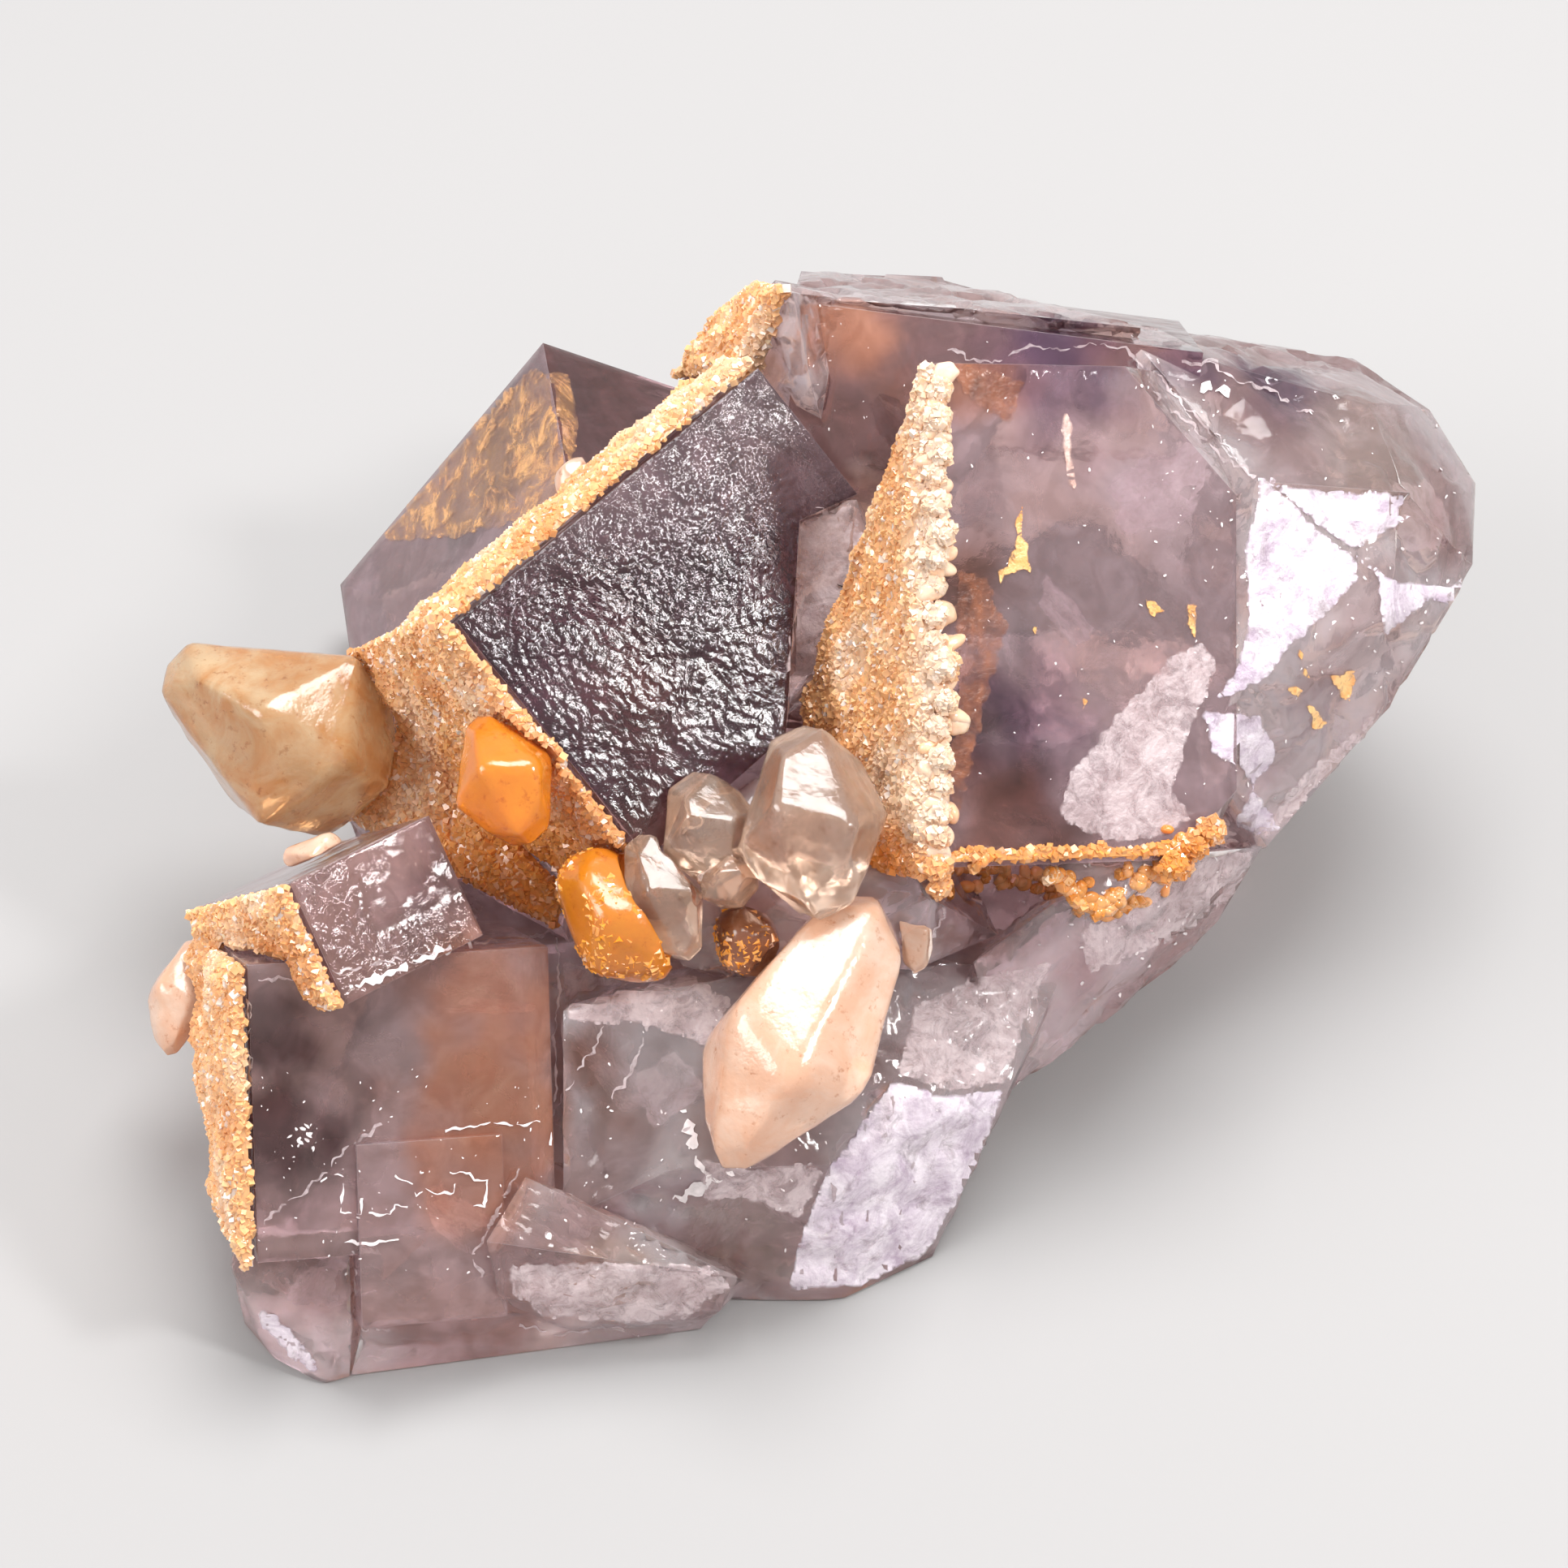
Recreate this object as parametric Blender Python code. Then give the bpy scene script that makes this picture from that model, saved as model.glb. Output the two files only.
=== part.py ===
"""Fluorite cluster: clear lavender cubes of fluorite grown into one another and broken off
flat underneath, drusy crusts on their left faces, and calcite crystals in the gaps between them.

Lengths below are millimetres and angles are degrees; MM turns them into Blender's metres.
The origin is on the flat broken base, under the middle of the cluster. +X runs along its long
side, +Z is up, and the open side with the crystal faces looks towards -Y."""
from itertools import combinations
from math import cos, radians, sin

import bmesh
import bpy
import numpy as np
from mathutils import Matrix, Vector, noise

MM = 0.001
GAP = 0.3              # clearance left between two minerals that touch
CRUST = 0.9            # mean thickness of the drusy crusts
CRUST_GRID = 1.05      # spacing of the points that carry a crust's lumps
CRUST_LUMP = 2.6       # width of one lump of a crust
CRUST_THIN = 0.45      # thinnest place of a crust, as a share of its mean thickness
CRUST_EDGE = 0.55      # thickness at a crust's edge, as a share of what it has inside
KNOB = 0.95            # radius of the knobs along a crust's rim
FOOT_KNOB = 1.2        # radius of the knobs along the foot of the right cube
PAIR_TURN = 22.0       # half the angle between the two calcite faces of a pair
TIP_SLOPE = 52.0       # slope of the low faces on a calcite's tips
OPEN_SIDE = (-0.3, -0.6, 0.7)    # direction that all the crusts look towards

PARALLEL = 1e-5        # planes whose determinant is below this don't meet in a point
SLACK = 1e-6           # how far outside a plane a corner may lie through rounding
PLACES = 4             # decimals that corner points are rounded to
FLAT = 0.3             # faces that turn by less than this are one face
WELD = 0.008           # corners nearer than this are one corner
FLOOR = 60.0           # half the width of the block that cuts the base flat

# Each fluorite cube: centre of its front face, the direction that face looks in (azimuth from
# -Y towards +X, then elevation), roll about that direction, and width, height and depth.
DARK = ((-4.4, 3.4, 28.7), (32.7, 51.1), 14.6, (22.7, 16.4, 23.3))
RIGHT = ((16.5, 1.9, 30.0), (33.6, 42.5), -23.8, (18.4, 26.9, 16.2))
BACK = ((10.7, 11.4, 25.8), (-0.9, 38.3), -6.5, (22.6, 24.1, 18.0))
FRONT = ((-20.5, -19.0, 13.8), (22.3, 42.5), -14.1, (16.4, 16.1, 14.5))
SMALL = ((-21.2, -12.2, 22.1), (44.4, 48.3), -8.9, (8.9, 7.1, 14.4))
BACK_LEFT = ((-7.5, 23.8, 19.8), (95.1, 55.7), -84.3, (14.0, 13.0, 24.0))
UNDER_FRONT = ((-19.0, -24.0, 9.0), (22.3, 42.5), -14.1, (8.0, 10.0, 7.0))

# Calcite crystals: centre, direction of the long axis, length, width, the slopes of the long
# faces at the far and near end, and how far along the axis the widest place lies.
CALCITES = {
    "calcite_front": ((0.9, -16.5, 17.0), (-32, -24), 17.2, 8.6, (28, 12), 2.2),
    "calcite_middle_large": ((1.5, -8.5, 25.0), (5, -26), 11.0, 7.4, (24, 20), 0.5),
    "calcite_middle_small": ((-4.0, -7.5, 23.0), (18, -26), 7.0, 5.0, (20, 20), 0.0),
    "calcite_middle_flat": ((-3.0, -10.5, 22.5), (33, -25), 3.6, 3.4, (20, 20), 0.0),
    "calcite_brown": ((-2.0, -11.5, 18.5), (38, -26), 4.8, 3.8, (20, 20), 0.0),
    "calcite_pale": ((-6.5, -10.5, 21.0), (27, -33), 7.6, 4.4, (20, 20), 0.0),
    "calcite_orange_upper": ((-15.0, -6.5, 26.0), (24, -22), 8.0, 5.4, (22, 26), 0.0),
    "calcite_orange_lower": ((-9.0, -11.0, 20.0), (41, -22), 9.2, 6.4, (30, 16), 1.0),
    "calcite_disc": ((-25.0, -8.0, 21.0), (75, 4), 5.0, 3.6, (30, 30), 0.0),
    "calcite_far_left": ((-33.8, -9.0, 10.1), (-13, -27), 7.0, 3.8, (22, 22), 0.0),
    "calcite_left_large": ((-29.0, 6.0, 16.0), (65, -15), 15.0, 10.6, (10, 24), 1.0),
    "calcite_back_tip": ((-12.0, 15.0, 27.0), (-27, -26), 3.0, 2.0, (20, 20), 0.0),
    "calcite_sliver": ((7.0, -9.5, 17.0), (6, -34), 5.0, 2.6, (16, 16), 0.0),
}


def facing(azimuth, elevation, roll=0.0):
    """Rotation that points a crystal's +Z in a direction, rolled about it."""
    look = Matrix.Rotation(radians(azimuth), 3, "Z") @ Matrix.Rotation(radians(90 - elevation), 3, "X")
    return np.array(look @ Matrix.Rotation(radians(roll), 3, "Z"))


def corners_of(planes):
    """Corner points of the convex solid bounded by planes, each a normal and a distance."""
    normals = np.array([normal for normal, _ in planes])
    distances = np.array([distance for _, distance in planes])
    corners = []
    for trio in combinations(range(len(planes)), 3):
        rows = normals[list(trio)]
        if abs(np.linalg.det(rows)) < PARALLEL:
            continue
        corner = np.linalg.solve(rows, distances[list(trio)])
        if np.all(normals @ corner <= distances + SLACK):
            corners.append(corner)
    return corners


def hull(points):
    """Closed convex mesh, in a bmesh, around points."""
    shape = bmesh.new()
    for place in sorted({tuple(np.round(point, PLACES).tolist()) for point in points}):
        shape.verts.new(place)
    made = bmesh.ops.convex_hull(shape, input=shape.verts)
    spare = {item for item in made["geom_interior"] if isinstance(item, bmesh.types.BMVert)}
    bmesh.ops.delete(shape, geom=list(spare), context="VERTS")
    bmesh.ops.dissolve_limit(shape, angle_limit=radians(FLAT), verts=shape.verts, edges=shape.edges)
    bmesh.ops.recalc_face_normals(shape, faces=shape.faces)
    return shape


def chunk(*points):
    """Planes of the broken piece that spans a few corner points."""
    shape = hull(points)
    planes = [(np.array(face.normal), float(face.normal.dot(face.verts[0].co))) for face in shape.faces]
    shape.free()
    return planes


def plane_through(centre, turn, direction, through):
    """Plane across a crystal: a direction and a point, both in the crystal's own axes."""
    normal = turn @ (np.array(direction, float) / np.linalg.norm(direction))
    return normal, float(normal @ (np.array(centre) + turn @ np.array(through, float)))


def cube(centre, look, roll, size, cuts=()):
    """Planes of a fluorite cube. A cut is a cleavage's direction and a point that it passes
    through, measured from the middle of the front face."""
    turn = facing(*look, roll)
    width, height, depth = size
    sides = [((1, 0, 0), (width / 2, 0, 0)), ((-1, 0, 0), (-width / 2, 0, 0)),
             ((0, 1, 0), (0, height / 2, 0)), ((0, -1, 0), (0, -height / 2, 0)),
             ((0, 0, 1), (0, 0, 0)), ((0, 0, -1), (0, 0, -depth))]
    return [plane_through(centre, turn, *side) for side in sides + list(cuts)]


def calcite(centre, look, length, width, slopes, waist):
    """Planes of a blunt calcite crystal: three pairs of long faces sloping to each end,
    and three low faces that close each tip."""
    turn = facing(*look)
    planes = []
    for end, slope in zip((1, -1), slopes):
        lean = radians(slope)
        for third in range(3):
            middle = 120 * third + (60 if end < 0 else 0)
            for side in (-1, 1):
                around = radians(middle + side * PAIR_TURN)
                direction = (cos(around) * cos(lean), sin(around) * cos(lean), end * sin(lean))
                through = (cos(around) * width / 2, sin(around) * width / 2, waist)
                planes.append(plane_through(centre, turn, direction, through))
            around = radians(middle + 60)
            lean_tip = radians(TIP_SLOPE)
            direction = (cos(around) * cos(lean_tip), sin(around) * cos(lean_tip), end * sin(lean_tip))
            planes.append(plane_through(centre, turn, direction, (0, 0, end * length / 2)))
    return planes


def grown(planes, margin=GAP):
    """The same solid, with every face moved out."""
    return [(normal, distance + margin) for normal, distance in planes]


right_w, right_h, _ = RIGHT[3]
FLUORITE = {
    "dark": cube(*DARK, cuts=[((1, -1, 0.45), (7.7, 0.3, 0))]),
    "dark_top": cube(*DARK, cuts=[((-0.26, -0.96, 0), (7.7, 0.3, 0))]),
    "right": cube(*RIGHT, cuts=[((-1, 1, -1), (-right_w / 2, right_h / 2, 0)),
                                ((-1, -1, -1), (-right_w / 2, -right_h / 2, -7.7)),
                                ((1, 1, 1), (right_w / 2, 6.5, 0)),
                                ((1, -1, 1), (6.7, -12.2, 0))]),
    "back": cube(*BACK),
    "front": cube(*FRONT),
    "small": cube(*SMALL),
    "back_left": cube(*BACK_LEFT),
    "under_front": cube(*UNDER_FRONT),
    "between": chunk((0.4, 9.8, 28.6), (4.0, 10.2, 30.3), (5.5, 8.0, 27.0), (3.0, 5.5, 21.0),
                     (-0.5, 3.5, 19.0), (1.0, 15.5, 23.0), (4.0, 16.5, 24.0), (6.0, 13.5, 21.5),
                     (3.0, 10.0, 16.0), (-0.5, 8.5, 13.5)),
    "back_top": chunk((0.5, 22.0, 34.5), (1.0, 32.0, 27.0), (9.0, 32.5, 26.0), (20.5, 28.5, 25.5),
                      (20.0, 20.0, 34.0), (10.0, 20.0, 35.5), (2.0, 28.0, 16.0), (20.0, 27.0, 16.0)),
    "rim_foot": chunk((14.0, -8.5, 20.5), (17.0, -9.5, 17.5), (23.0, -4.5, 19.5), (21.0, -4.0, 20.5),
                      (17.5, -5.5, 14.5), (22.5, -3.0, 16.0)),
    "middle": chunk((-6.0, -6.5, 20.5), (-1.5, -2.5, 21.5), (3.5, -2.5, 22.0), (5.5, -8.0, 19.5),
                    (8.0, -9.0, 19.0), (7.5, -11.0, 15.5), (4.0, -11.5, 16.0), (-3.0, -11.5, 15.5),
                    (-5.5, -11.0, 15.5), (-8.0, -4.0, 12.0), (-4.0, 2.0, 14.0), (8.0, 4.0, 14.0),
                    (12.0, -6.0, 12.0)),
    "right_end": chunk((19.5, 18.5, 34.5), (33.0, 18.0, 30.0), (20.5, 27.0, 27.5), (33.5, 26.0, 25.5),
                       (37.5, 22.5, 25.0), (40.0, 18.5, 23.0), (39.5, 13.5, 21.5), (38.0, 11.0, 21.0),
                       (34.0, 5.5, 17.5), (27.5, 0.0, 12.5), (26.0, 10.5, 31.5), (35.0, 12.5, 28.5),
                       (33.5, 7.0, 24.5), (25.5, 2.0, 25.0), (23.0, -1.5, 22.5), (33.5, 24.5, 12.0),
                       (28.0, 11.0, -0.9), (29.6, 19.4, -0.9), (20.5, 25.6, -0.9), (22.0, 5.0, 2.0)),
    "back_corner": chunk((0.5, 18.0, 38.6), (-0.5, 26.0, 32.0), (-2.0, 26.0, 29.5), (-4.0, 26.0, 26.5),
                         (-6.0, 26.0, 24.0), (-3.0, 21.0, 29.0), (1.5, 15.0, 34.5), (8.0, 30.0, 26.0),
                         (8.0, 28.0, 8.0), (-6.0, 26.0, 8.0), (4.0, 18.0, 20.0)),
    "front_right": chunk((-12.0, -14.0, 15.5), (-8.0, -12.5, 15.5), (-2.5, -12.0, 16.0),
                         (16.0, -7.0, 11.0), (12.5, -14.5, 9.0), (6.0, -16.0, 12.0), (2.5, -20.0, 9.5),
                         (-6.0, -21.0, 10.5), (-12.0, -22.5, 8.0), (8.0, -20.0, -0.7),
                         (3.5, -22.5, -0.7), (0.0, -22.5, -0.7), (-12.0, -22.0, -0.7),
                         (12.5, -9.0, -0.7), (-12.0, 0.0, -0.7), (8.0, 0.0, 8.0)),
    "wedge": chunk((15.0, -6.5, 15.5), (23.0, -3.2, 15.8), (27.2, -0.3, 12.8), (25.0, -1.5, 7.5),
                   (22.5, -2.5, 4.5), (16.0, -7.5, 3.5), (12.5, -12.0, 5.0), (10.5, -9.5, 14.0),
                   (14.0, 4.0, 2.0), (23.0, 6.5, 3.0)),
    "low_corner": chunk((-30.0, -24.5, 6.5), (-29.0, -24.0, 8.0), (-23.5, -25.0, 8.0),
                        (-23.5, -27.5, 4.5), (-24.0, -27.5, -0.7), (-25.5, -28.0, -0.7),
                        (-28.0, -26.5, -0.7), (-30.0, -24.0, -0.7), (-30.5, -20.5, -0.7),
                        (-29.5, -18.0, 8.0), (-22.0, -18.0, -0.7)),
    "low_slab": chunk((-16.0, -25.0, 9.5), (-14.0, -21.5, 10.5), (-2.5, -25.0, 6.0), (-3.5, -25.5, 3.5),
                      (-5.5, -25.0, 1.0), (-12.0, -26.0, 2.5), (-15.5, -26.0, 5.5), (-14.0, -20.0, 2.0),
                      (-4.0, -20.0, 2.0)),
    "low_front": chunk((-24.0, -27.5, -0.7), (-18.0, -26.0, -0.7), (-5.0, -24.5, -0.7), (-23.0, -27.0, 4.0),
                       (-16.0, -25.5, 5.0), (-3.0, -24.0, 3.0), (-24.0, -18.0, -0.7), (0.0, -18.0, -0.7),
                       (-14.0, -18.0, 8.0)),
    "under_dark": chunk((-25.0, 11.0, 15.5), (-12.0, -4.0, 13.5), (-12.5, -5.5, 12.0), (-19.0, 0.5, 10.5),
                        (-25.5, 5.0, 9.5), (-10.0, 8.0, 16.0), (-14.0, 16.0, 14.0), (-24.0, 6.0, -0.7),
                        (-10.0, -4.0, -0.7), (-14.0, 20.0, -0.7)),
    "base": chunk((-25.0, 4.0, -0.7), (-29.0, -12.0, -0.7), (-29.0, -20.0, -0.7), (-12.0, -22.0, -0.7),
                  (12.5, -9.0, -0.7), (22.0, 1.0, -0.7), (28.5, 10.0, -0.7), (30.0, 20.0, -0.7),
                  (20.0, 27.0, -0.7), (0.0, 28.0, -0.7), (-16.0, 24.0, -0.7), (-18.0, 14.0, 10.0),
                  (14.0, 24.0, 14.0), (24.0, 14.0, 12.0), (10.0, -4.0, 13.0), (-24.0, -6.0, 9.0)),
}
BELOW = chunk(*[(x, y, z) for x in (-FLOOR, FLOOR) for y in (-FLOOR, FLOOR) for z in (-FLOOR, 0)])

# Outward direction, direction across and position of each side face of a cube.
SIDES = {
    "left": ((-1, 0, 0), (0, 1, 0), 0),
    "right": ((1, 0, 0), (0, -1, 0), 0),
    "top": ((0, 1, 0), (1, 0, 0), 1),
    "bottom": ((0, -1, 0), (-1, 0, 0), 1),
}


def on_side(values, side, outline, lift=0.0):
    """Points on a side face of a cube, from their depth behind the front rim and distance across."""
    centre, look, roll, size = values
    turn = facing(*look, roll)
    out, across, axis = SIDES[side]
    reach = size[axis] / 2 + lift
    out, across = np.array(out, float), np.array(across, float)
    return [np.array(centre) + turn @ (reach * out + v * across + (0, 0, -depth)) for depth, v in outline]


def plate(outline, thickness=CRUST):
    """Lumpy plate of druse on the flat patch between four corner points."""
    a, b, c, d = [Vector(corner) for corner in outline]
    out = (c - a).cross(d - b).normalized()
    if out.dot(Vector(OPEN_SIDE)) < 0:
        out.negate()
    rows = max(2, round(max((b - a).length, (c - d).length) / CRUST_GRID))
    columns = max(2, round(max((d - a).length, (c - b).length) / CRUST_GRID))
    shape = bmesh.new()
    upper, lower = {}, {}
    for i in range(rows + 1):
        for j in range(columns + 1):
            s, t = i / rows, j / columns
            place = (a * (1 - s) + b * s) * (1 - t) + (d * (1 - s) + c * s) * t
            on_rim = i in (0, rows) or j in (0, columns)
            lump_middle = noise.voronoi(place / CRUST_LUMP)[0][0]
            lump = 1.55 - 1.1 * lump_middle ** 2 + 0.25 * noise.noise(place)
            height = GAP + thickness * (CRUST_EDGE if on_rim else 1.0) * max(CRUST_THIN, lump)
            upper[i, j] = shape.verts.new(place + out * height)
            if on_rim:
                lower[i, j] = shape.verts.new(place + out * GAP)
    for i in range(rows):
        for j in range(columns):
            shape.faces.new([upper[i, j], upper[i + 1, j], upper[i + 1, j + 1], upper[i, j + 1]])
    ring = [(i, 0) for i in range(rows)] + [(rows, j) for j in range(columns)]
    ring += [(i, columns) for i in range(rows, 0, -1)] + [(0, j) for j in range(columns, 0, -1)]
    for here, there in zip(ring, ring[1:] + ring[:1]):
        shape.faces.new([upper[there], upper[here], lower[here], lower[there]])
    shape.faces.new([lower[place] for place in ring])
    bmesh.ops.recalc_face_normals(shape, faces=shape.faces)
    return shape


def knobs(start, end, count, radius):
    """Row of rounded knobs along a line, each a little off it and of its own size."""
    shape = bmesh.new()
    start, end = Vector(start), Vector(end)
    for index in range(count):
        place = start.lerp(end, index / (count - 1))
        shift = Vector([noise.noise(place + Vector((0, 0, 10 * axis + 0.5))) for axis in range(3)])
        size = radius * (0.8 + 0.7 * abs(noise.noise(place * 3)))
        at = Matrix.Translation(place + shift * radius * 0.8)
        bmesh.ops.create_icosphere(shape, subdivisions=1, radius=size, matrix=at)
    return shape


def crust_of_dark_cube():
    """Plates over the left and upper-left faces, meeting over the edge, and on the wall below."""
    half_w, half_h = DARK[3][0] / 2, DARK[3][1] / 2
    over, front, low, behind = GAP + CRUST, -0.3, 19.0, 9.0
    left = [(front, half_h + over), (front, -half_h), (low, -half_h), (low, half_h + over)]
    top = [(front, -half_w - over), (front, half_w), (behind, half_w), (behind, -half_w - over)]
    wall = [(-25.0, 11.0, 15.5), (-12.0, -4.0, 13.5), (-12.5, -5.5, 12.0), (-25.5, 5.0, 9.5)]
    return [plate(on_side(DARK, "left", left)), plate(on_side(DARK, "top", top)), plate(wall)]


def crust_of_right_cube():
    """Plates on the left and lower faces, a scalloped rim, and knobs along the foot."""
    front, left_top, left_foot, near, far = -0.4, 13.4, -14.0, -7.0, 9.6
    left = [(front, left_top), (15.6, -5.3), (6.8, left_foot), (front, left_foot)]
    bottom = [(front, far), (front, near), (5.0, near), (5.0, far)]
    left_rim = on_side(RIGHT, "left", [(-0.6, 12.0), (-0.6, -13.4)], lift=0.2)
    bottom_rim = on_side(RIGHT, "bottom", [(-0.2, 8.6), (-0.2, 1.0)], lift=0.9)
    foot = [(15.0, -9.8, 20.6), (17.0, -10.6, 18.0), (23.2, -5.2, 20.2)]
    return [plate(on_side(RIGHT, "left", left)), plate(on_side(RIGHT, "bottom", bottom)),
            knobs(*left_rim, 18, KNOB), knobs(*bottom_rim, 7, KNOB),
            knobs(*foot[:2], 3, FOOT_KNOB), knobs(*foot[1:], 7, FOOT_KNOB)]


def crust_of_back_corner():
    """Plate on the left end of the back cube."""
    return [plate([(0.5, 18.0, 38.6), (-1.0, 26.0, 31.5), (-6.0, 26.0, 24.0), (-1.0, 18.0, 32.0)])]


def crust_of_front_cubes():
    """Plates on the left faces of the front cube and of the small one, which meet."""
    front_left = [(-0.4, 8.0), (14.4, 8.0), (9.5, -6.0), (-0.4, -8.2)]
    small_left = [(-0.3, 3.6), (13.5, 3.6), (13.0, -3.4), (-0.3, -3.4)]
    return [plate(on_side(FRONT, "left", front_left)), plate(on_side(SMALL, "left", small_left))]


CRUSTS = {
    "druse_dark_cube": crust_of_dark_cube,
    "druse_right_cube": crust_of_right_cube,
    "druse_back_corner": crust_of_back_corner,
    "druse_front_cubes": crust_of_front_cubes,
}


def material(name, colour, roughness):
    made = bpy.data.materials.new(name)
    made.use_nodes = True
    shader = made.node_tree.nodes["Principled BSDF"]
    shader.inputs["Base Color"].default_value = (*colour, 1.0)
    shader.inputs["Roughness"].default_value = roughness
    return made


def merged(shapes):
    """One bmesh from several, which are used up."""
    whole = bmesh.new()
    carrier = bpy.data.meshes.new("carrier")
    for shape in shapes:
        shape.to_mesh(carrier)
        shape.free()
        whole.from_mesh(carrier)
    bpy.data.meshes.remove(carrier)
    return whole


def solids(plane_lists):
    return merged([hull(corners_of(planes)) for planes in plane_lists])


def object_of(name, shape):
    """One object from a bmesh in millimetres, which is used up."""
    bmesh.ops.scale(shape, vec=(MM, MM, MM), verts=shape.verts)
    mesh = bpy.data.meshes.new(name)
    shape.to_mesh(mesh)
    shape.free()
    piece = bpy.data.objects.new(name, mesh)
    bpy.context.collection.objects.link(piece)
    return piece


def bodies(shape):
    """Groups of vertices that hang together."""
    left, groups = set(shape.verts), []
    while left:
        seed = left.pop()
        group, edge = {seed}, [seed]
        while edge:
            for link in edge.pop().link_edges:
                for vert in link.verts:
                    if vert in left:
                        left.discard(vert)
                        group.add(vert)
                        edge.append(vert)
        groups.append(group)
    return groups


def carved(name, shape, cutters, finish):
    """One closed body: the shape's own overlaps joined, the cutters taken away, crumbs left out."""
    piece = object_of(name, shape)
    cutter = object_of(name + "_cutter", solids(cutters))
    cut = piece.modifiers.new("Carve", "BOOLEAN")
    cut.operation = "DIFFERENCE"
    cut.solver = "EXACT"
    cut.use_self = True
    cut.object = cutter
    result = bpy.data.meshes.new_from_object(piece.evaluated_get(bpy.context.evaluated_depsgraph_get()))
    piece.modifiers.clear()
    bpy.data.objects.remove(cutter)
    clean = bmesh.new()
    clean.from_mesh(result)
    bmesh.ops.remove_doubles(clean, verts=clean.verts, dist=WELD * MM)
    bmesh.ops.dissolve_degenerate(clean, dist=WELD * MM, edges=clean.edges)
    groups = sorted(bodies(clean), key=len)
    for crumb in groups[:-1]:
        bmesh.ops.delete(clean, geom=list(crumb), context="VERTS")
    clean.to_mesh(result)
    clean.free()
    piece.data = result
    result.materials.clear()
    result.materials.append(finish)
    return piece


def main():
    for old in list(bpy.data.objects):
        bpy.data.objects.remove(old)
    clear = material("clear fluorite", (0.55, 0.50, 0.58), 0.1)
    spar = material("calcite", (0.85, 0.68, 0.52), 0.2)
    druse = material("peach druse", (0.75, 0.42, 0.22), 0.5)

    fluorite = list(FLUORITE.values())
    carved("fluorite", solids(fluorite), [BELOW], clear)

    around = [grown(planes) for planes in fluorite + [BELOW]]
    taken = []
    for name, values in CALCITES.items():
        crystal = calcite(*values)
        carved(name, solids([crystal]), around + taken, spar)
        taken.append(grown(crystal))

    for name, crust in CRUSTS.items():
        carved(name, merged(crust()), around + taken, druse)


main()
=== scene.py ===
"""The looks of the fluorite cluster: fine surface, colour and finish of every piece, built on the
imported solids, with a pale floor, soft studio light and the photograph's camera.

Lengths in this file are millimetres and angles are degrees, in the solids' own frame: the origin is
on the flat base, +X runs along the long side, +Z is up, and the open side looks towards -Y.
MM turns lengths into Blender's metres."""
from math import cos, pi, radians, sin

import bmesh
import bpy
import numpy as np
from mathutils import Matrix, Vector, geometry, noise
from mathutils.bvhtree import BVHTree


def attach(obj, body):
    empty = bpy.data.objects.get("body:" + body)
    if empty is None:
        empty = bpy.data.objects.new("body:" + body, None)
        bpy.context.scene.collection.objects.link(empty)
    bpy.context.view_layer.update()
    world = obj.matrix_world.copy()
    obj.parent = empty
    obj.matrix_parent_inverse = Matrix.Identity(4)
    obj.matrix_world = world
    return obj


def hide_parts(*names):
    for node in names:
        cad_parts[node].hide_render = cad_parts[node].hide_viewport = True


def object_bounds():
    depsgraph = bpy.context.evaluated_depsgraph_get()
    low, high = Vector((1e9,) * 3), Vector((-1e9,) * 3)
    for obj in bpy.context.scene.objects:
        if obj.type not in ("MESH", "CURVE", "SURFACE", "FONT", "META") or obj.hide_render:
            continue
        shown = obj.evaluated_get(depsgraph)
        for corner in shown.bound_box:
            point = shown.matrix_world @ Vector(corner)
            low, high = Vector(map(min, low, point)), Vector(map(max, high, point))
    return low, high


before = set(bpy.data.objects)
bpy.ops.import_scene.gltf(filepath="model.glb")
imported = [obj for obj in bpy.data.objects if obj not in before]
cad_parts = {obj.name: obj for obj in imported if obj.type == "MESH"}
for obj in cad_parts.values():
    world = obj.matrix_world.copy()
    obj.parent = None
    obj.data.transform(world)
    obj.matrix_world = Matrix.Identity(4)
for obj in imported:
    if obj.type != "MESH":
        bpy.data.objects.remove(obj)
CAD_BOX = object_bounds()

MM = 0.001
OPEN_SIDE = Vector((-0.3, -0.6, 0.7)).normalized()

# Camera
LOOK_AT = Vector((0.0, 0.0, 18.0))
ELEVATION = 50.0
DISTANCE = 243.9
LENS, SENSOR = 100.0, 36.0

# Each fluorite cube: centre of its front face, the direction that face looks in (azimuth from
# -Y towards +X, then elevation), roll about that direction, and width, height and depth.
CUBES = {
    "dark": ((-4.4, 3.4, 28.7), (32.7, 51.1), 14.6, (22.7, 16.4, 23.3)),
    "right": ((16.5, 1.9, 30.0), (33.6, 42.5), -23.8, (18.4, 26.9, 16.2)),
    "back": ((10.7, 11.4, 25.8), (-0.9, 38.3), -6.5, (22.6, 24.1, 18.0)),
    "front": ((-20.5, -19.0, 13.8), (22.3, 42.5), -14.1, (16.4, 16.1, 14.5)),
    "small": ((-21.2, -12.2, 22.1), (44.4, 48.3), -8.9, (8.9, 7.1, 14.4)),
    "back_left": ((-7.5, 23.8, 19.8), (95.1, 55.7), -84.3, (14.0, 13.0, 24.0)),
    "under_front": ((-19.0, -24.0, 9.0), (22.3, 42.5), -14.1, (8.0, 10.0, 7.0)),
}
SIDES = {"front": (2, 1), "left": (0, -1), "right": (0, 1), "top": (1, 1), "bottom": (1, -1)}


def seen(red, green, blue):
    """Linear colour of one given as it is seen, 0 to 255 a channel."""
    return tuple((channel / 255) ** 2.2 for channel in (red, green, blue))


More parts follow.
